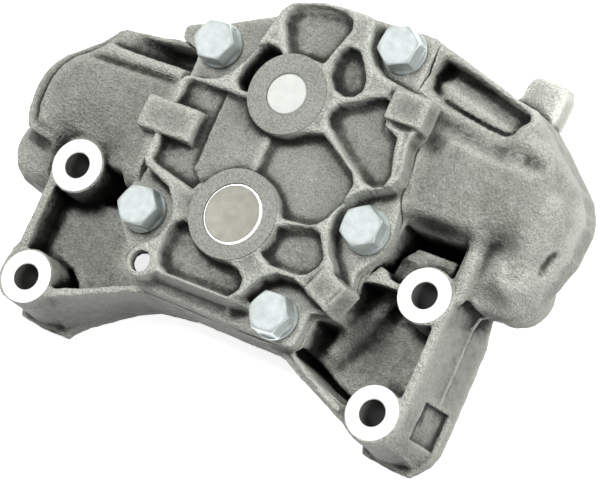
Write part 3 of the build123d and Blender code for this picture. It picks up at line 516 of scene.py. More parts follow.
def make_housing():
    c = Casting((-127, -70, -2), (130, 104, 50), 0.55)
    block = [(-60.0, 61.0), (-60.4, 67.0), (-50.0, 72.3), (-43.6, 73.9), (-35.0, 78.3), (-19.0, 86.0),
             (-9.4, 91.4), (8.4, 94.1), (23.5, 95.0), (46.5, 95.6), (47.4, 92.0), (56.0, 88.0), (64.0, 70.0),
             (64.0, 24.0), (61.6, 8.0), (56.6, -3.0), (57.4, -12.0), (53.4, -23.2), (45.0, -25.4), (44.2, -38.8), (41.6, -41.0), (24.1, -41.4), (12.0, -41.3), (3.6, -41.1),
             (-10.0, -40.8), (-27.2, -40.0), (-36.0, -37.0), (-43.5, -25.4), (-50.7, -17.3), (-55.0, -6.0), (-56.0, 50.0)]
    solid(c, block, 11.6, 35.2, edge=0.6, blend=2.0, draft=1.5, corner=2.0)
    left_body(c)
    right_body(c)
    left_leg(c)
    right_leg(c)
    # mounting bosses
    for m, dx, dy in zip(MOUNTS, (0.2, -0.5, 0.5, 0.0), (0.0, 0.2, 0.1, -0.4)):
        post(c, (m[0] + dx, m[1] + dy), 12.7, 0.0, 35.6, edge=0.8, blend=2.2, draft=1.7)
    # flanges and bosses at the back
    post(c, INLET, 23.0, 0.0, 12.0, edge=0.6, blend=2.5)
    post(c, OUTLET, 21.0, 0.0, 12.0, edge=0.6, blend=2.5)
    post(c, (RELIEF[0] - 0.4, RELIEF[1] + 0.3), 13.4, 0.0, 12.0, edge=0.6, blend=2.5)
    post(c, IDLER, 11.2, 9.0, 14.0, edge=0.8, blend=1.5)
    roughen(c, 0.17, 3.4, 21)
    roughen(c, 0.10, 1.3, 22)
    # machined faces and holes
    cut, x, y, z = c.window((-130, -80, -6), (134, 110, 60))
    c.merge(cut, np.broadcast_to(0.0 - z, c.field[cut].shape), "meet", 0)
    solid(c, [(-50.4, 45.0), (-50.6, 57.8), (-56.0, 60.2), (-62.0, 61.0), (-64.0, 100.0), (47.8, 100.0), (47.8, 73.0), (56.6, 70.0), (57.2, 58.0),
              (57.7, 52.0), (59.2, 42.0), (58.9, 34.0), (60.4, 28.0), (62.2, 21.5), (66.3, 17.0), (66.8, -6.0), (58.0, -45.0), (-50.3, -45.0)], 35.0, 60.0, mode="cut", edge=0.0, blend=0.35)
    for m in MOUNTS:
        post(c, m, 13.2, 34.75, 60.0, mode="cut")
        post(c, m, 10.9, 34.45, 60.0, mode="cut")
        post(c, m, 6.0, -5.0, 60.0, mode="cut", blend=0.3)
    post(c, INLET, 15.0, -5.0, 34.0, mode="cut")
    post(c, OUTLET, 13.0, -5.0, 32.0, mode="cut")
    tube(c, INLET, 17.2, 20.2, -5.0, 3.0)
    tube(c, OUTLET, 15.2, 18.2, -5.0, 3.0)
    post(c, RELIEF, 12.0, -5.0, 4.0, mode="cut")
    post(c, RELIEF, 8.9, -5.0, 9.0, mode="cut")
    post(c, RELIEF, 8.1, -5.0, 28.0, mode="cut")
    post(c, (98.0, 8.5), 3.4, -5.0, 22.0, mode="cut")
    post(c, SHAFT, 15.0, 5.0, 60.0, mode="cut")
    post(c, SHAFT, 30.4, 18.9, 60.0, mode="cut")
    post(c, IDLER, 30.4, 18.9, 60.0, mode="cut")
    post(c, SHAFT, 41.0, -5.0, 11.3, mode="cut", edge=0.8)
    for b in BOLTS:
        post(c, b, 5.1, 16.0, 60.0, mode="cut")
    cylinder_along(c, (SIGHT[0] - DRAIN[0] * 50, SIGHT[1] - DRAIN[1] * 50, 0.0), DRAIN, 5.7, 80.0, back=20.0)
    # the listed spots are painted shade in pockets and under walls (positive strength) and painted highlights on
    # crests and the back (negative strength)
    return surface(c, "housing_casting", [
        ((-84.0, 32.0, 44.0), (30.0, 24.0, 12.0), 0.16), ((-103.0, 30.0, 42.0), (6.0, 26.0, 8.0), 0.25), ((-66.0, 4.0, 42.0), (5.0, 8.0, 8.0), 0.3), ((-84.0, 14.0, 37.0), (13.0, 5.0, 5.0), -0.15),
        ((-66.0, -7.0, 18.0), (9.0, 7.0, 12.0), 0.6), ((-76.0, -8.0, 24.0), (7.0, 7.0, 10.0), 0.9), ((-88.4, -27.0, 27.0), (2.6, 20.0, 9.0), 0.8),
        ((-80.0, -15.0, 21.0), (9.0, 4.0, 4.0), 0.5), ((-72.0, -50.0, 18.0), (8.0, 6.0, 11.0), 0.8), ((-106.5, -2.8, 31.0), (4.0, 5.0, 4.0), -0.25),
        ((45.0, -20.0, 20.0), (6.0, 14.0, 12.0), 0.9), ((40.5, -34.0, 18.0), (6.0, 6.0, 12.0), 0.9), ((66.5, -19.0, 13.0), (7.0, 15.0, 6.0), 0.66), ((54.0, -10.0, 24.0), (8.0, 6.0, 10.0), 0.7),
        ((81.0, -13.0, 15.0), (6.0, 4.0, 6.0), 0.6), ((62.0, -4.0, 20.0), (9.0, 5.0, 10.0), 0.7), ((53.4, -22.5, 22.0), (2.8, 13.0, 3.0), -0.4),
        ((62.5, 56.0, 39.0), (11.0, 11.5, 12.0), 0.62), ((57.0, -14.0, 30.0), (4.0, 10.0, 10.0), 0.6), ((103.5, 28.5, 35.0), (15.0, 7.5, 10.0), 0.52), ((106.5, 9.8, 30.0), (13.0, 7.5, 11.0), 0.66),
        ((105.0, 17.5, 34.0), (6.0, 4.0, 6.0), -0.3), ((117.0, 38.0, 36.0), (4.0, 22.0, 9.0), -0.2), ((94.5, 14.0, 35.0), (2.5, 14.0, 5.0), -0.25),
        ((77.0, 25.0, 39.0), (18.0, 4.8, 7.0), 1.0), ((66.0, 12.0, 20.0), (5.0, 10.0, 14.0), 0.4), ((109.0, 39.0, 39.0), (5.0, 11.0, 6.0), 0.36),
        ((70.0, 66.2, 40.0), (16.0, 3.0, 3.0), 0.6), ((70.0, 84.5, 30.0), (24.0, 2.0, 5.0), 0.3), ((74.0, 71.4, 37.0), (15.0, 1.6, 4.0), 0.45), ((90.0, 76.0, 36.0), (3.0, 5.0, 6.0), 0.5),
        ((52.0, 80.0, 34.0), (3.6, 8.0, 5.0), 0.5), ((98.0, 88.0, 13.0), (16.0, 14.0, 16.0), -1.4),
        ((105.0, 61.6, 39.3), (7.0, 3.2, 4.0), -0.4), ((118.6, 57.4, 31.0), (3.2, 3.4, 5.0), 0.35), ((121.4, 52.6, 29.0), (2.0, 4.5, 5.0), 0.5), ((122.8, 46.0, 28.0), (1.6, 5.0, 5.0), 0.5), ((123.0, 38.5, 27.0), (1.6, 5.5, 5.0), 0.4),
        ((125.0, 44.0, 18.0), (9.0, 26.0, 14.0), -0.2),
    ])


def left_body(c):
    # shoulder: outer contour of the inlet chamber
    shoulder = at(37, [(-50.0, 65.6), (-57.0, 65.2), (-60.0, 64.6), (-70.0, 62.4), (-80.0, 61.3), (-88.5, 60.4), (-92.2, 58.3), (-94.4, 55.2), (-97.2, 52.0), (-100.4, 49.6), (-105.4, 45.4),
                       (-110.9, 41.5), (-115.0, 36.0), (-117.4, 30.2), (-118.1, 22.0), (-117.2, 14.0), (-114.0, 6.0), (-110.0, 4.0), (-92.0, 2.0), (-74.0, 2.0), (-66.0, 0.5), (-60.0, -0.5), (-50.0, 1.0), (-40.0, 6.0), (-40.0, 60.0)])
    solid(c, shoulder, 4.0, 39.4, edge=2.6, blend=2.5, draft=3, corner=2.5,
          top=lambda x, y: 39.2 + 0.03 * (np.clip(x, -110, -50) + 80) + 0.0 * y
          - 7.0 * np.exp(-(np.maximum(np.sqrt((x - MOUNTS[0][0]) ** 2 + (y - MOUNTS[0][1]) ** 2) - 10.5, 0) / 6.0) ** 2))
    # inner dome and the ledge above it
    dome = at(40, [(-30.0, 60.0), (-60.0, 58.5), (-88.0, 57.0), (-93.0, 55.2), (-96.0, 50.4), (-100.5, 46.0), (-106.0, 42.4), (-110.6, 36.5), (-112.9, 29.0), (-113.2, 18.0), (-111.0, 9.0), (-105.0, 5.5), (-96.0, 4.0),
                   (-86.0, 2.0), (-76.0, 3.0), (-69.0, 0.6), (-62.0, -2.6), (-55.0, -2.4), (-30.0, 2.0)])
    solid(c, dome, 24.0, 44.2, edge=5.0, blend=1.2, draft=6, corner=5.0,
          top=lambda x, y: 44.4 - 0.0007 * np.maximum(-72 - x, 0) ** 2 - 0.035 * np.maximum(9 - y, 0) ** 2
          - 12.0 * np.exp(-(np.maximum(np.sqrt((x - MOUNTS[0][0]) ** 2 + (y - MOUNTS[0][1]) ** 2) - 7.0, 0) / 13.0) ** 2))
    # the outer rim lies lower than the ledge, a deep trough between the two
    solid(c, at(42, [(-130.0, 59.0), (-101.0, 47.5), (-96.0, 49.6), (-92.0, 52.6), (-70.0, 52.8), (-40.0, 53.0), (-40.0, 90.0), (-130.0, 90.0)]), 40.6, 70.0, mode="cut", edge=0.6, blend=1.2)
    solid(c, at(41, [(-92.0, 55.4), (-85.0, 56.6), (-72.0, 57.0), (-60.0, 58.0), (-54.0, 59.2), (-49.0, 59.6), (-49.0, 53.6), (-60.0, 53.4), (-84.0, 53.2), (-92.0, 54.0)]), 24.0, 60.0, mode="cut", edge=1.6, blend=1.8, draft=9, corner=1.0,
          bottom=lambda x, y: 29.0 + np.clip((-64.0 - x) * 0.50, 0, 12.0) + 0.0 * y)
    # crease between dome and ledge
    p, q = at(44, [(-99.0, 44.4), (-52.0, 45.3)])
    rod(c, (p[0], p[1], 44.6), (q[0], q[1], 44.6), 1.5, 1.5, mode="cut", blend=1.6)
    # lobe beside the mounting boss
    lobe = at(25, [(-112.8, 8.0), (-112.8, 0.0), (-111.6, -5.7), (-108.3, -11.6), (-103.0, -15.4)]) + at(16, [(-97.0, -16.6), (-90.0, -16.8), (-80.0, -16.0), (-80.0, 8.0), (-96.0, 10.0)])
    solid(c, lobe, 3.0, 32.0, edge=6.0, blend=4.0, draft=2, corner=4.0,
          top=lambda x, y: 32.6 - 0.020 * (y + 2.5) ** 2 - 0.006 * (x + 98) ** 2)
    # clearance round the upper mounting boss
    post(c, MOUNTS[0], 11.6, 34.9, 60.0, mode="cut", edge=0.0, blend=0.8, draft=20)


def groove_on(c, top, points, r, sink, mode="cut", blend=1.5, spacing=2.5):
    """A soft groove or bead that follows the roof along plan points read on the boss-face level."""
    fine = []
    for p, q in zip(points[:-1], points[1:]):
        n = max(1, int(math.hypot(q[0] - p[0], q[1] - p[1]) / spacing))
        fine += [(p[0] + (q[0] - p[0]) * i / n, p[1] + (q[1] - p[1]) * i / n) for i in range(n)]
    fine.append(points[-1])
    pts = []
    for q in fine:
        z = 35.0
        for _ in range(5):
            p = at(z, [q])[0]
            z = float(top(np.float32(p[0]), np.float32(p[1])))
        pts.append((p[0], p[1], z))
    groove(c, pts, r, sink, mode=mode, blend=blend)


ROOF = [
    (56, 57, 41), (58, 48, 41.2), (61, 38, 41.2), (63, 30, 40.6), (65, 23, 39.5),
    (75, 58, 42), (90, 56, 42), (75, 45, 43), (90, 42, 43), (100, 45, 42.3), (75, 33, 42.6), (88, 32, 42.4), (66, 60, 41),
    (70, 27, 40.8), (85, 27, 40.8), (95, 29, 39), (104, 31, 37.5),
    (108, 52, 40), (108, 40, 40.5), (113, 46, 39), (118, 50, 36.5), (118, 40, 36), (118, 30, 34.5), (124, 46, 32), (124, 36, 31), (123, 27, 29),
    (129, 48, 27.5), (129.5, 38, 26.5), (128, 26, 25), (131, 47, 24.5), (131, 35, 24), (129, 20, 22),
    (97, 20, 35.5), (97, 8, 34.0), (103, 26, 34.6), (109, 18.5, 35.2), (103, 17, 33.2), (108, 9, 29.6), (102, 3, 29.5), (115, 17, 31.5), (116, 9, 29.2), (121, 12, 26.6), (123, 20, 27.5), (118, 3, 20), (112, 3, 24), (126, 8, 16),
    (92, 70, 40.8), (98, 72, 41.0), (103, 70, 40), (108, 68, 37.5), (113, 65, 34.5), (119, 61.5, 31.5), (125, 56, 28.5), (100, 64, 40), (110, 62.5, 37), (116, 60.5, 33.5),
    (50, 90, 39.8), (62, 88, 39.6), (75, 84.5, 39.3), (88, 81, 38.8), (95, 78.5, 38.5), (104, 75, 35.5),
    (60, 69, 40.4), (75, 67, 40.2), (88, 65.5, 40.2)]


def right_body(c):
    pillow = height_field([(*at(z, [(x, y)])[0], z) for x, y, z in ROOF])

    def top(x, y):
        # the pillow rolls off toward the slot behind the mounting boss
        return pillow(x, y) - 0.075 * np.clip(31.0 - y, 0, 9.5) ** 2 * np.clip((97.0 - x) / 6.0, 0, 1)

    outline = [(40.0, 60.0), (52.0, 40.0), (56.0, 26.0), (66.0, 21.6), (76.0, 22.0), (91.0, 22.0), (94.0, 8.0), (98.0, 3.6), (101.0, 1.8), (105.2, 3.3), (110.6, 4.6), (115.2, 7.4),
               (119.6, 12.6), (123.9, 24.2), (127.0, 34.5), (127.4, 47.8), (126.2, 52.8), (121.7, 60.3), (113.5, 67.5), (103.4, 76.6), (95.4, 82.4),
               (89.6, 83.4), (81.6, 85.6), (71.6, 88.6), (61.6, 91.4), (54.5, 93.3), (46.0, 95.4), (40.0, 95.0)]
    solid(c, outline, 7.0, 44.0, edge=2.6, blend=2.5, draft=0.6, corner=2.0, top=top)
    # trough in the roof along the upper edge: deep below the outer rim, an island floor in the middle
    solid(c, at(38, [(49.6, 89.6), (60.0, 87.8), (75.0, 83.9), (86.0, 80.9), (91.6, 79.4), (92.4, 77.8), (90.0, 74.4), (88.4, 70.0), (84.0, 68.8), (72.0, 70.6), (58.0, 74.0), (50.0, 78.0), (47.8, 82.0)]), 30.0, 60.0,
          mode="cut", edge=2.0, blend=3.6, draft=10, corner=2.4,
          bottom=lambda x, y: 29.6 + np.clip(((88.0 - 0.262 * (x - 60)) - y - 0.8) * 0.85, 0, 7.6) - 4.0 * np.exp(-((x - 50.0) / 5.0) ** 2))
    groove_on(c, top, [(56.0, 74.8), (66.0, 72.4), (78.0, 70.4), (86.0, 69.8), (88.6, 71.6), (89.4, 74.4)], 0.8, -3.2, blend=0.8)
    groove_on(c, top, [(57.0, 66.6), (75.0, 65.4), (92.0, 63.2)], 4.6, 3.3, blend=3.0)
    groove_on(c, top, [(90.0, 63.4), (100.0, 62.6), (107.0, 62.0)], 3.0, 2.8, blend=3.0)
    # hollow beside the cover's upper right lug
    ball(c, (61.5, 57.5, 45.0), (7.0, 8.0, 6.6), mode="cut", blend=2.5)
    # rib running up from the leg wall
    rod(c, (96.0, 27.5, 36.2), (95.2, 3.0, 31.8), 2.8, 2.8, blend=3.2)
    # shelf between pillow and mounting boss, with a deep slot behind it
    solid(c, [(54.0, 26.0), (53.0, -8.0), (93.0, -6.0), (93.0, 26.0)], 3.0, 8.5, edge=1.0, blend=2.0)
    solid(c, at(26, [(72.5, 15.8), (67.4, 9.5), (66.0, -6.0), (91.5, -6.0), (91.5, 15.8)]), 6.0, 26.4, edge=1.4, blend=1.6, draft=2, corner=2.0)
    # dimple in the side
    groove_on(c, top, [(125.0, 22.5), (126.6, 30.5)], 2.4, 1.9, blend=1.4)
    # location lug on the upper right edge
    solid(c, at(12, [(99.0, 72.0), (106.2, 78.4), (106.4, 90.5), (105.2, 93.4)]) + at(17, [(102.6, 95.4), (91.0, 95.4), (87.8, 94.2), (86.7, 91.0), (86.4, 86.0), (84.4, 82.8), (88.0, 74.0)]), 6.0, 17.0, edge=0.9, blend=1.4, draft=1, corner=1.5)


def left_leg(c):
    solid(c, [(-93.8, -4.0), (-94.0, -38.0), (-95.8, -42.0), (-96.0, -52.0), (-95.0, -58.0), (-90.0, -62.0), (-86.0, -60.0), (-88.6, -45.0), (-88.6, -4.0)], 0.0, 34.2, edge=0.9, blend=3.0, draft=1.2)
    solid(c, [(-92.6, -2.0), (-92.6, -54.0), (-73.0, -56.0), (-36.0, -39.0), (-33.0, -28.0), (-50.0, -8.0), (-52.0, 5.0)], 3.0, 19.6, edge=1.0, blend=2.0)
    low = [(-88.0, -60.0), (-80.0, -62.4), (-71.5, -63.4), (-65.4, -58.5), (-57.0, -52.8), (-47.7, -46.4), (-37.5, -41.7), (-27.2, -40.2), (-20.0, -39.8), (-20.0, -36.8), (-36.0, -38.0), (-47.0, -42.5), (-60.0, -48.5), (-73.0, -53.5), (-88.0, -54.0)]
    high = [(-88.0, -56.0), (-80.0, -58.6), (-73.0, -56.4), (-66.0, -53.8), (-57.0, -50.0), (-49.0, -46.4), (-40.0, -42.6), (-30.0, -40.0), (-20.0, -39.4), (-20.0, -36.8), (-36.0, -38.2), (-47.0, -42.5), (-60.0, -48.0), (-73.0, -51.8), (-88.0, -52.0)]
    ruled(c, low, high, 0.0, 33.6, edge=1.0, blend=1.8)
    # deep parts of the pocket
    solid(c, [(-72.5, -9.5), (-67.5, -8.5), (-61.5, -6.5), (-61.0, 1.5), (-72.5, 2.0)], 8.5, 60.0, mode="cut", edge=2.0, blend=2.6, draft=2, corner=1.5)
    solid(c, at(20, [(-72.5, -40.5), (-66.0, -42.0), (-61.0, -46.0), (-59.6, -50.0), (-70.0, -51.2), (-74.0, -50.5)]), 10.0, 60.0, mode="cut", edge=2.0, blend=3.0, draft=3, corner=1.5)
    # foot
    solid(c, [(-96.0, -40.0), (-96.3, -60.0), (-94.8, -64.0), (-83.7, -65.2), (-71.3, -65.4), (-70.4, -62.6), (-66.0, -58.0), (-74.0, -42.0)], 0.0, 5.5, edge=0.8, blend=1.5, corner=1.0)
    solid(c, [(-88.0, -66.5), (-77.0, -66.5), (-76.0, -62.6), (-88.0, -62.0)], 1.8, 5.0, mode="cut", edge=0.8, blend=0.5)


def right_leg(c):
    # outer side wall, running up into the outlet chamber
    low = [(98.9, 6.0), (100.6, -3.6), (101.9, -8.0), (102.4, -44.0), (101.9, -54.0), (99.7, -59.8), (96.0, -64.0), (80.0, -64.0), (80.0, -50.0), (88.0, -46.0), (88.0, 20.0), (96.0, 20.0)]
    high = [(95.8, 14.0), (94.9, 4.0), (94.6, -8.0), (94.6, -46.0), (94.0, -54.0), (91.4, -59.4), (86.0, -61.6), (80.0, -61.0), (80.0, -50.0), (91.0, -46.0), (91.2, 28.0), (94.6, 28.0)]
    ruled(c, low, high, 0.0, 33.8, edge=1.0, blend=1.8)
    # lower rib
    low = [(34.0, -36.8), (41.0, -38.2), (47.5, -42.4), (60.0, -48.4), (74.0, -53.0), (80.0, -62.2), (66.9, -57.0), (56.9, -52.6), (46.8, -48.4), (36.7, -43.3), (28.0, -41.4)]
    ruled(c, low, low, 0.0, 32.2, edge=1.4, blend=1.8)
    groove(c, [(41.0, -41.2, 32.4), (47.0, -44.9, 32.6), (58.0, -50.4, 32.8), (68.0, -54.6, 33.0)], 1.3, -0.1, mode="add", blend=0.8)
    # web and its ridge
    solid(c, [(32.0, -20.0), (60.0, -4.0), (64.0, 6.0), (95.0, 6.0), (95.0, -52.0), (75.0, -57.0), (46.0, -44.0), (30.0, -39.0)], 3.0, 15.0, edge=1.0, blend=2.0)
    rod(c, (63.0, -5.0, 18.6), (46.4, -36.0, 15.6), 4.4, 4.0, blend=4.0)
    solid(c, [(41.0, -37.5), (46.0, -39.8), (58.0, -45.0), (70.0, -49.4), (68.0, -50.4), (54.0, -46.0), (42.0, -40.0)], 10.0, 33.0, mode="cut", edge=2.0, blend=2.4, draft=2, corner=1.2)
    # link between block and upper boss
    solid(c, at(33, [(58.5, -0.5), (61.0, 3.8), (64.0, 3.2), (67.0, 0.4), (73.0, -0.6), (73.0, -3.4), (64.0, -3.6), (56.0, -5.2), (52.0, -4.0)]), 5.0, 34.2, edge=0.7, blend=1.0, draft=0.8, corner=0.5)
    # foot
    solid(c, [(70.7, -60.3), (72.0, -64.6), (85.7, -66.3), (93.9, -66.3), (97.4, -61.8), (100.3, -58.3), (101.4, -54.0), (101.4, -40.0), (76.0, -40.0)], 0.0, 5.5, edge=0.8, blend=1.2, corner=1.0)
    solid(c, [(75.0, -68.0), (88.0, -68.0), (88.5, -63.0), (76.0, -62.4)], 2.0, 5.2, mode="cut", edge=0.8, blend=0.5)
    # rough recess in the side wall
    cut, x, y, z = c.window((90, -62, 2), (108, -36, 30))
    wall = 94.6 + (33.8 - z) * (7.1 / 33.8)
    depth = (x[:, :, None] - (wall - 1.4)) * -1.0
    frame_y = np.maximum(y[:, :, None] + 38.4, -54.2 - y[:, :, None])
    frame_z = np.maximum(z - 22.8, 6.0 - z)
    tool = round_max(np.maximum(frame_y, frame_z) + 0.0 * x[:, :, None], depth, 0.5)
    c.merge(cut, tool.astype(np.float32), "cut", 0.6)
    # casting seam on the side wall
    groove(c, [(104.0, 3.4, 14.8), (99.8, 0.6, 14.8), (98.7, -4.0, 14.8), (98.9, -37.0, 14.8)], 0.65, 0.1, mode="add", blend=0.5)


def ruled(c, low, high, z0, z1, mode="add", edge=1.0, blend=1.5):
    """A solid whose outline passes from low at z0 to high at z1."""
    xs, ys = [p[0] for p in low + high], [p[1] for p in low + high]
    pad = blend + 3.0
    cut, x, y, z = c.window((min(xs) - pad, min(ys) - pad, z0 - pad), (max(xs) + pad, max(ys) + pad, z1 + pad))
    a = polygon_distance(low, x, y)[:, :, None]
    b = polygon_distance(high, x, y)[:, :, None]
    t = np.clip((z - z0) / (z1 - z0), 0, 1)
    side = (a * (1 - t) + b * t) * 0.97
    c.merge(cut, round_max(side, np.maximum(z - z1, z0 - z), edge).astype(np.float32), mode, blend)


# ----------------------------------------------------------------------
# Materials
# ----------------------------------------------------------------------
def new_material(name):
    mat = bpy.data.materials.new(name)
    mat.use_nodes = True
    nt = mat.node_tree
    nt.nodes.clear()
    out = nt.nodes.new("ShaderNodeOutputMaterial")
    bsdf = nt.nodes.new("ShaderNodeBsdfPrincipled")
    nt.links.new(bsdf.outputs[0], out.inputs[0])
    return mat, nt, bsdf


def node(nt, kind, **values):
    n = nt.nodes.new(kind)
    for key, value in values.items():
        if key.startswith("_"):
            setattr(n, key[1:], value)
        else:
            n.inputs[key.replace("__", " ")].default_value = value
    return n


def cast_iron(name, dark, light, grain=1.0):
    """Sand-cast grey iron: fine speckle, pebbled skin, painted shade with some dirt in the hollows and recesses,
    lighter convex edges as painted highlight with a little wear.
    """
    mat, nt, bsdf = new_material(name)
    L = nt.links.new
    coord = node(nt, "ShaderNodeTexCoord")
    fine = node(nt, "ShaderNodeTexNoise", Scale=1350.0, Detail=3.0, Roughness=0.65)
    mid = node(nt, "ShaderNodeTexNoise", Scale=640.0, Detail=3.0, Roughness=0.6)
    broad = node(nt, "ShaderNodeTexNoise", Scale=45.0, Detail=4.0, Roughness=0.55)
    for n in (fine, mid, broad):
        L(coord.outputs["Object"], n.inputs["Vector"])
    speck = node(nt, "ShaderNodeMix", _data_type="FLOAT")
    speck.inputs[0].default_value = 0.35
    L(fine.outputs[0], speck.inputs[2])
    L(mid.outputs[0], speck.inputs[3])
    ramp = nt.nodes.new("ShaderNodeValToRGB")
    ramp.color_ramp.elements[0].position = 0.40
    ramp.color_ramp.elements[0].color = (*dark, 1)
    ramp.color_ramp.elements[1].position = 0.60
    ramp.color_ramp.elements[1].color = (*light, 1)
    L(speck.outputs[0], ramp.inputs[0])
    patches = nt.nodes.new("ShaderNodeValToRGB")
    patches.color_ramp.elements[0].position = 0.3
    patches.color_ramp.elements[0].color = (0.80, 0.80, 0.785, 1)
    patches.color_ramp.elements[1].position = 0.7
    patches.color_ramp.elements[1].color = (1.0, 1.0, 1.0, 1)
    L(broad.outputs[0], patches.inputs[0])
    tint = node(nt, "ShaderNodeMix", _data_type="RGBA", _blend_type="MULTIPLY")
    tint.inputs[0].default_value = 1.0
    L(ramp.outputs[0], tint.inputs[6])
    L(patches.outputs[0], tint.inputs[7])
    # upright walls drawn against the sand are smoother than the tops
    face = node(nt, "ShaderNodeNewGeometry")
    split = nt.nodes.new("ShaderNodeSeparateXYZ")
    L(face.outputs["Normal"], split.inputs[0])
    tilt = node(nt, "ShaderNodeMath", _operation="ABSOLUTE")
    L(split.outputs[2], tilt.inputs[0])
    calm = node(nt, "ShaderNodeMapRange")
    calm.inputs["From Min"].default_value = 0.30
    calm.inputs["From Max"].default_value = 0.75
    calm.inputs["To Min"].default_value = 0.72
    calm.inputs["To Max"].default_value = 0.0
    L(tilt.outputs[0], calm.inputs[0])
    even = node(nt, "ShaderNodeMix", _data_type="RGBA", _blend_type="MIX")
    even.inputs[7].default_value = (*[(p + q) / 2 * 0.95 for p, q in zip(dark, light)], 1)
    L(calm.outputs[0], even.inputs[0])
    L(tint.outputs[2], even.inputs[6])
    result = even.outputs[2]
    # painted shade and painted highlight: the hollow attribute darkens creases (painted shade, with some dirt) and
    # lightens convex edges (painted highlight, with a little wear); the shelter attribute with its spots darkens
    # enclosed recesses as painted shade and lightens where the spots are negative
    for attribute, low, high, stops in (
        ("hollow", -0.8, 0.8, ((0.0, 1.60), (0.32, 1.22), (0.46, 1.0), (0.55, 0.90), (0.67, 0.52), (0.82, 0.24), (1.0, 0.14))),
        ("shelter", -1.0, 1.0, ((0.0, 1.9), (0.5, 1.0), (0.63, 0.96), (0.74, 0.76), (0.83, 0.44), (0.92, 0.15), (1.0, 0.06))),
    ):
        value = node(nt, "ShaderNodeAttribute", _attribute_name=attribute)
        wobble = node(nt, "ShaderNodeMapRange")
        wobble.inputs["From Min"].default_value = 0.3
        wobble.inputs["From Max"].default_value = 0.7
        wobble.inputs["To Min"].default_value = -0.045
        wobble.inputs["To Max"].default_value = 0.045
        L(mid.outputs[0], wobble.inputs[0])
        scale = node(nt, "ShaderNodeMapRange")
        scale.inputs["From Min"].default_value = low
        scale.inputs["From Max"].default_value = high
        L(value.outputs["Fac"], scale.inputs[0])
        uneven = node(nt, "ShaderNodeMath", _operation="ADD")
        L(scale.outputs[0], uneven.inputs[0])
        L(wobble.outputs[0], uneven.inputs[1])
        shade_ramp = nt.nodes.new("ShaderNodeValToRGB")
        els = shade_ramp.color_ramp.elements
        els[0].position, els[1].position = stops[0][0], stops[-1][0]
        for k, (pos, v) in enumerate(stops):
            e = els[0] if k == 0 else (els[len(els) - 1] if k == len(stops) - 1 else els.new(pos))
            e.color = (v, v, v * 0.985, 1)
        L(uneven.outputs[0], shade_ramp.inputs[0])
        shaded = node(nt, "ShaderNodeMix", _data_type="RGBA", _blend_type="MULTIPLY")
        shaded.inputs[0].default_value = 1.0
        L(result, shaded.inputs[6])
        L(shade_ramp.outputs[0], shaded.inputs[7])
        result = shaded.outputs[2]
    L(result, bsdf.inputs["Base Color"])
    bsdf.inputs["Roughness"].default_value = 0.55
    bsdf.inputs["Metallic"].default_value = 0.15
    bsdf.inputs["Specular IOR Level"].default_value = 0.35
    height = node(nt, "ShaderNodeMix", _data_type="FLOAT")
    height.inputs[0].default_value = 0.6
    L(fine.outputs[0], height.inputs[2])
    L(mid.outputs[0], height.inputs[3])
    bump = node(nt, "ShaderNodeBump", Strength=1.0 * grain, Distance=0.0030)
    L(height.outputs[0], bump.inputs["Height"])
    L(bump.outputs[0], bsdf.inputs["Normal"])
    return mat


def machined(name, color, rough, rings=None, metallic=1.0, grain=0.2):
    mat, nt, bsdf = new_material(name)
    L = nt.links.new
    coord = node(nt, "ShaderNodeTexCoord")
    noise = node(nt, "ShaderNodeTexNoise", Scale=260.0, Detail=3.0, Roughness=0.6)
    L(coord.outputs["Object"], noise.inputs["Vector"])
    ramp = nt.nodes.new("ShaderNodeValToRGB")
    ramp.color_ramp.elements[0].position = 0.3
    ramp.color_ramp.elements[0].color = (*[v * (1 - grain) for v in color], 1)
    ramp.color_ramp.elements[1].position = 0.7
    ramp.color_ramp.elements[1].color = (*color, 1)
    L(noise.outputs[0], ramp.inputs[0])
    L(ramp.outputs[0], bsdf.inputs["Base Color"])
    bsdf.inputs["Metallic"].default_value = metallic
    bsdf.inputs["Roughness"].default_value = rough
    bump = node(nt, "ShaderNodeBump", Strength=0.12, Distance=0.0002)
    if rings is not None:
        shift = node(nt, "ShaderNodeMapping")
        shift.inputs["Location"].default_value = (-rings[0] * MM, -rings[1] * MM, 0)
        L(coord.outputs["Object"], shift.inputs["Vector"])
        wave = node(nt, "ShaderNodeTexWave", _wave_type="RINGS", _rings_direction="Z", Scale=rings[2], Distortion=1.5, Detail=2.0)
        wave.inputs["Detail Scale"].default_value = 2.0
        L(shift.outputs[0], wave.inputs["Vector"])
        L(wave.outputs[1], bump.inputs["Height"])
    else:
        L(noise.outputs[0], bump.inputs["Height"])
    L(bump.outputs[0], bsdf.inputs["Normal"])
    return mat


IRON_BODY = cast_iron("iron_body", (0.138, 0.142, 0.132), (0.262, 0.269, 0.249))
IRON_COVER = cast_iron("iron_cover", (0.132, 0.136, 0.127), (0.252, 0.259, 0.241), 0.9)
FACED = machined("faced_iron", (0.54, 0.54, 0.52), 0.45, metallic=0.2, grain=0.10)
BOSS_FACE = cast_iron("boss_face", (0.108, 0.112, 0.104), (0.225, 0.230, 0.217), 0.30)
ZINC = machined("zinc_plate", (0.60, 0.655, 0.645), 0.42, metallic=0.75, grain=0.22)
STEEL_TURNED = machined("turned_steel", (0.315, 0.31, 0.27), 0.42, rings=(0, 0, 300.0), metallic=0.6)
STEEL_GROUND = machined("ground_steel", (0.50, 0.51, 0.485), 0.38, metallic=0.6, grain=0.10)
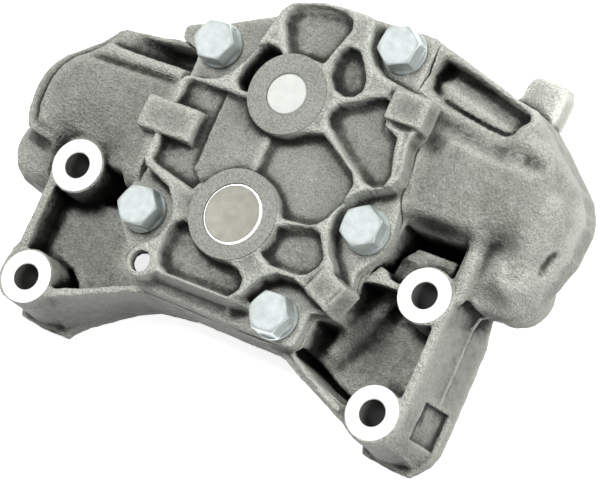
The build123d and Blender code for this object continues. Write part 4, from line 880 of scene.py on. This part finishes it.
# painted highlight: the chamfer is near-white and non-metallic so it reads bright from every side
CHAMFER = machined("chamfer_highlight", (0.93, 0.93, 0.91), 0.5, metallic=0.0, grain=0.04)
STEEL_GEAR = machined("gear_steel", (0.36, 0.36, 0.355), 0.42)
STEEL_SPRING = machined("spring_steel", (0.10, 0.10, 0.105), 0.45)
BRONZE = machined("bronze", (0.62, 0.42, 0.20), 0.45)
SOFT_WASHER = machined("soft_washer", (0.78, 0.78, 0.78), 0.5)
RUBBER = machined("seal_rubber", (0.03, 0.03, 0.032), 0.6, metallic=0.0)
BORE = machined("drilled_bore", (0.10, 0.10, 0.095), 0.55, metallic=0.3)


def assign(obj, mat):
    if len(obj.material_slots) == 0:
        obj.data.materials.append(mat)
    for s in obj.material_slots:
        s.material = mat


for names, mat in (
    (("relief_plug",), ZINC),
    (("idler_shaft", "dowel_pins", "pump_gear_key", "drive_gear_key", "relief_piston"), STEEL_GROUND),
    (("drive_pump_gear", "idler_pump_gear", "drive_gear"), STEEL_GEAR),
    (("drive_gear_circlip", "relief_spring", "gallery_plug"), STEEL_SPRING),
    (("idler_bush", "cover_bush", "housing_bush", "thrust_washer"), BRONZE),
    (("relief_plug_washer",), SOFT_WASHER),
    (("inlet_port_seal", "outlet_port_seal"), RUBBER),
):
    for n in names:
        assign(nodes[n], mat)


def face_materials(obj, base, rules):
    """Base material everywhere, and others where a rule says the face is machined."""
    mesh = obj.data
    mesh.materials.append(base)
    count = len(mesh.polygons)
    centre = np.empty(count * 3, np.float32)
    mesh.polygons.foreach_get("center", centre)
    centre = centre.reshape(-1, 3) / MM
    normal = np.empty(count * 3, np.float32)
    mesh.polygons.foreach_get("normal", normal)
    normal = normal.reshape(-1, 3)
    index = np.zeros(count, np.int32)
    for k, (mat, rule) in enumerate(rules):
        mesh.materials.append(mat)
        index[rule(centre, normal)] = k + 1
    mesh.polygons.foreach_set("material_index", index)


def near(c, p, r):
    return (c[:, 0] - p[0]) ** 2 + (c[:, 1] - p[1]) ** 2 < r * r


def lathe(name, centre, profile, mats, count=112):
    """A turned piece about an upright axis: profile is a list of (radius, height, material of the band that follows)."""
    verts, faces, slots = [], [], []
    rows = []
    closed = profile[0][0] > 0
    for r, z, _ in profile:
        if r <= 0:
            verts.append((centre[0] * MM, centre[1] * MM, z * MM))
            rows.append([len(verts) - 1] * count)
        else:
            start = len(verts)
            for k in range(count):
                a = 2 * math.pi * k / count
                verts.append(((centre[0] + r * math.cos(a)) * MM, (centre[1] + r * math.sin(a)) * MM, z * MM))
            rows.append(list(range(start, start + count)))
    for i in range(len(profile) if closed else len(profile) - 1):
        p, q = rows[i], rows[(i + 1) % len(rows)]
        for k in range(count):
            j = (k + 1) % count
            quad = [p[k], p[j], q[j], q[k]]
            quad = [v for n, v in enumerate(quad) if v not in quad[:n]]
            faces.append(quad)
            slots.append(profile[i][2])
    mesh = bpy.data.meshes.new(name)
    mesh.from_pydata(verts, [], faces)
    for m in mats:
        mesh.materials.append(m)
    mesh.polygons.foreach_set("material_index", slots)
    mesh.polygons.foreach_set("use_smooth", [True] * len(faces))
    mesh.set_sharp_from_angle(angle=math.radians(25))
    mesh.update()
    obj = bpy.data.objects.new(name, mesh)
    bpy.context.scene.collection.objects.link(obj)
    return obj


def make_bolt(name, centre, turn):
    """M10 flanged hexagon bolt: chamfered head with softened edges, conical flange, shank."""
    c = Casting((-10.6, -10.6, 16.2), (10.6, 10.6, 50.4), 0.24)
    post(c, (0, 0), 5.0, 17.0, 42.0, edge=0.8)
    cut, x, y, z = c.window((-11, -11, 39), (11, 11, 46))
    r = np.sqrt(x * x + y * y)[:, :, None]
    top = (z - (41.4 + (9.45 - r) * 0.42)) * 0.92
    c.merge(cut, round_max(r - 9.45, np.maximum(top, 40.0 - z), 0.35).astype(np.float32), "add", 0.0)
    hexagon = [(16.0 / math.sqrt(3) * math.cos(math.radians(turn + 60 * k)), 16.0 / math.sqrt(3) * math.sin(math.radians(turn + 60 * k))) for k in range(6)]
    head = Casting((-10.6, -10.6, 16.2), (10.6, 10.6, 50.4), c.step)
    solid(head, hexagon, 40.5, 49.2, edge=0.45, blend=0.0, corner=0.7)
    cut, x, y, z = head.window((-11, -11, 39), (11, 11, 52))
    r = np.sqrt(x * x + y * y)[:, :, None]
    head.merge(cut, ((z - 49.2 + (r - 7.9) * 0.62) * 0.85).astype(np.float32), "meet", 0.5)
    c.field = round_min(c.field, head.field, 0.5)
    bolt = surface(c, name)
    points = np.empty(len(bolt.data.vertices) * 3, np.float32)
    bolt.data.vertices.foreach_get("co", points)
    points = points.reshape(-1, 3)
    points[:, 0] += centre[0] * MM
    points[:, 1] += centre[1] * MM
    bolt.data.vertices.foreach_set("co", points.ravel())
    bolt.data.update()
    bolt.data.materials.append(ZINC)
    return bolt


cover = make_cover()
assign(cover, IRON_COVER)
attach(cover, "root")
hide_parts("pump_cover")

housing = make_housing()
face_materials(housing, IRON_BODY, [
    (FACED, lambda c, n: (n[:, 2] < -0.85) & (c[:, 2] < 0.3)),
])
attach(housing, "root")
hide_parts("pump_housing")

# crisp machined rings of the mounting bosses with their drilled holes
for k, m in enumerate(MOUNTS):
    seat = lathe("mount_seat_%d" % (k + 1), m, [
        (6.6, 1.7, 1), (6.6, 33.0, 1), (11.2, 34.0, 1), (11.2, 34.8, 0), (11.0, 35.0, 0), (5.9, 35.0, 0), (5.5, 34.6, 1), (5.5, 0.6, 1),
    ], (FACED, BORE))
    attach(seat, "root")
    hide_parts("pump_housing")

# machined faces of the two shaft bosses on the cover
for name, p, r_in, r_out in (("drive_boss_face", SHAFT, 12.75, 18.9), ("idler_boss_face", IDLER, 8.75, 17.0)):
    ring = lathe(name, p, [
        (r_in, 47.2, 1), (r_out - 0.6, 49.6, 1), (r_out, 50.2, 1), (r_out, 50.8, 0), (r_out - 0.25, 51.0, 0), (r_in + 0.2, 51.0, 0), (r_in, 50.8, 1),
    ], (BOSS_FACE, BORE))
    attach(ring, "root")
    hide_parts("pump_cover")


def coil_spring(name, centre, r, wire, low, high, active, mat):
    """A compression spring with closed end turns: centre line radius r, wire radius wire, between two heights."""
    dead, around, per_turn = 0.8, 14, 48
    turns = active + 2 * dead
    lead = 2.05 * wire
    rise = (high - low - 2 * wire - 2 * dead * lead) / active
    steps = int(turns * per_turn)
    verts, faces = [], []
    for i in range(steps + 1):
        t = turns * i / steps
        z = low + wire + lead * min(t, dead) + rise * min(max(t - dead, 0.0), active) + lead * max(t - dead - active, 0.0)
        a = 2 * math.pi * t
        slope = math.atan2(rise if dead < t < dead + active else lead, 2 * math.pi * r)
        for k in range(around):
            b = 2 * math.pi * k / around
            out, up = wire * math.cos(b), wire * math.sin(b)
            rr = r + out
            verts.append(((centre[0] + rr * math.cos(a) + up * math.sin(slope) * math.sin(a)) * MM,
                          (centre[1] + rr * math.sin(a) - up * math.sin(slope) * math.cos(a)) * MM,
                          (z + up * math.cos(slope)) * MM))
    for i in range(steps):
        for k in range(around):
            j = (k + 1) % around
            faces.append((i * around + k, (i + 1) * around + k, (i + 1) * around + j, i * around + j))
    faces.append(tuple(range(around)))
    faces.append(tuple(reversed(range(steps * around, (steps + 1) * around))))
    mesh = bpy.data.meshes.new(name)
    mesh.from_pydata(verts, [], faces)
    mesh.materials.append(mat)
    mesh.polygons.foreach_set("use_smooth", [True] * (len(faces) - 2) + [False, False])
    mesh.update()
    obj = bpy.data.objects.new(name, mesh)
    bpy.context.scene.collection.objects.link(obj)
    return obj


# relief spring, between its plug and the piston
spring_low, spring_high = (v[2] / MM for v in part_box("relief_spring"))
coil = coil_spring("relief_coil", RELIEF, 4.9, 0.7, spring_low, spring_high, 3.4, STEEL_SPRING)
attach(coil, "root")
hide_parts("relief_spring")
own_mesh(coil)

# drive shaft, its chamfer painted as a bright highlight
shaft = lathe("drive_shaft_turned", SHAFT, [
    (0.0, 0.6, 0), (10.5, 0.6, 0), (11.0, 1.1, 0), (11.0, 1.3, 0), (9.9, 1.3, 0), (9.9, 2.4, 0), (11.0, 2.4, 0), (11.0, 10.6, 0),
    (12.5, 10.6, 0), (12.5, 50.25, 1), (11.75, 51.0, 2), (11.55, 50.92, 0), (0.55, 50.95, 0), (0.0, 51.0, 0)], (STEEL_TURNED, CHAMFER, BORE))
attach(shaft, "drive_rotor")
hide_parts("drive_shaft")

for k, (p, turn) in enumerate(zip(BOLTS, BOLT_TURNS)):
    bolt = make_bolt("cover_bolt_%d" % (k + 1), p, turn)
    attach(bolt, "root")
    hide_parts("cover_bolts")

# ----------------------------------------------------------------------
# Floor and light
# ----------------------------------------------------------------------
floor_mesh = bpy.data.meshes.new("floor")
floor_mesh.from_pydata([(-6, -6, 0), (6, -6, 0), (6, 6, 0), (-6, 6, 0)], [], [(0, 1, 2, 3)])
floor = bpy.data.objects.new("floor", floor_mesh)
bpy.context.scene.collection.objects.link(floor)
floor.location = (0, 0, -0.0002)
mat, nt, bsdf = new_material("floor")
bsdf.inputs["Base Color"].default_value = (0.7, 0.7, 0.7, 1)
bsdf.inputs["Roughness"].default_value = 0.9
bsdf.inputs["Emission Color"].default_value = (1, 1, 1, 1)
bsdf.inputs["Emission Strength"].default_value = 0.80
floor_mesh.materials.append(mat)
floor.visible_diffuse = False


def area(name, place, aim, size, power, color=(1, 1, 1)):
    data = bpy.data.lights.new(name, "AREA")
    data.energy = power
    data.size = size
    data.color = color
    obj = bpy.data.objects.new(name, data)
    obj.location = place
    direction = Vector(aim) - Vector(place)
    obj.rotation_euler = direction.to_track_quat("-Z", "Y").to_euler()
    bpy.context.scene.collection.objects.link(obj)
    return obj


area("key", (-0.20, 0.36, 1.30), (0.02, 0, 0.02), 0.55, 42.0)
area("right", (1.15, 0.25, 0.50), (0.06, 0, 0.02), 0.7, 29.0)
panel = area("panel", (-0.75, 0.25, 1.45), (0, 0, 0.02), 1.5, 7.0)
panel.visible_diffuse = False
for lamp in bpy.context.scene.objects:
    if lamp.name in ("key", "right"):
        lamp.visible_glossy = False

world = bpy.data.worlds.new("world")
world.use_nodes = True
world.node_tree.nodes["Background"].inputs[0].default_value = (1, 1, 1, 1)
world.node_tree.nodes["Background"].inputs[1].default_value = 0.21
bpy.context.scene.world = world
bpy.context.scene.view_settings.view_transform = "Standard"
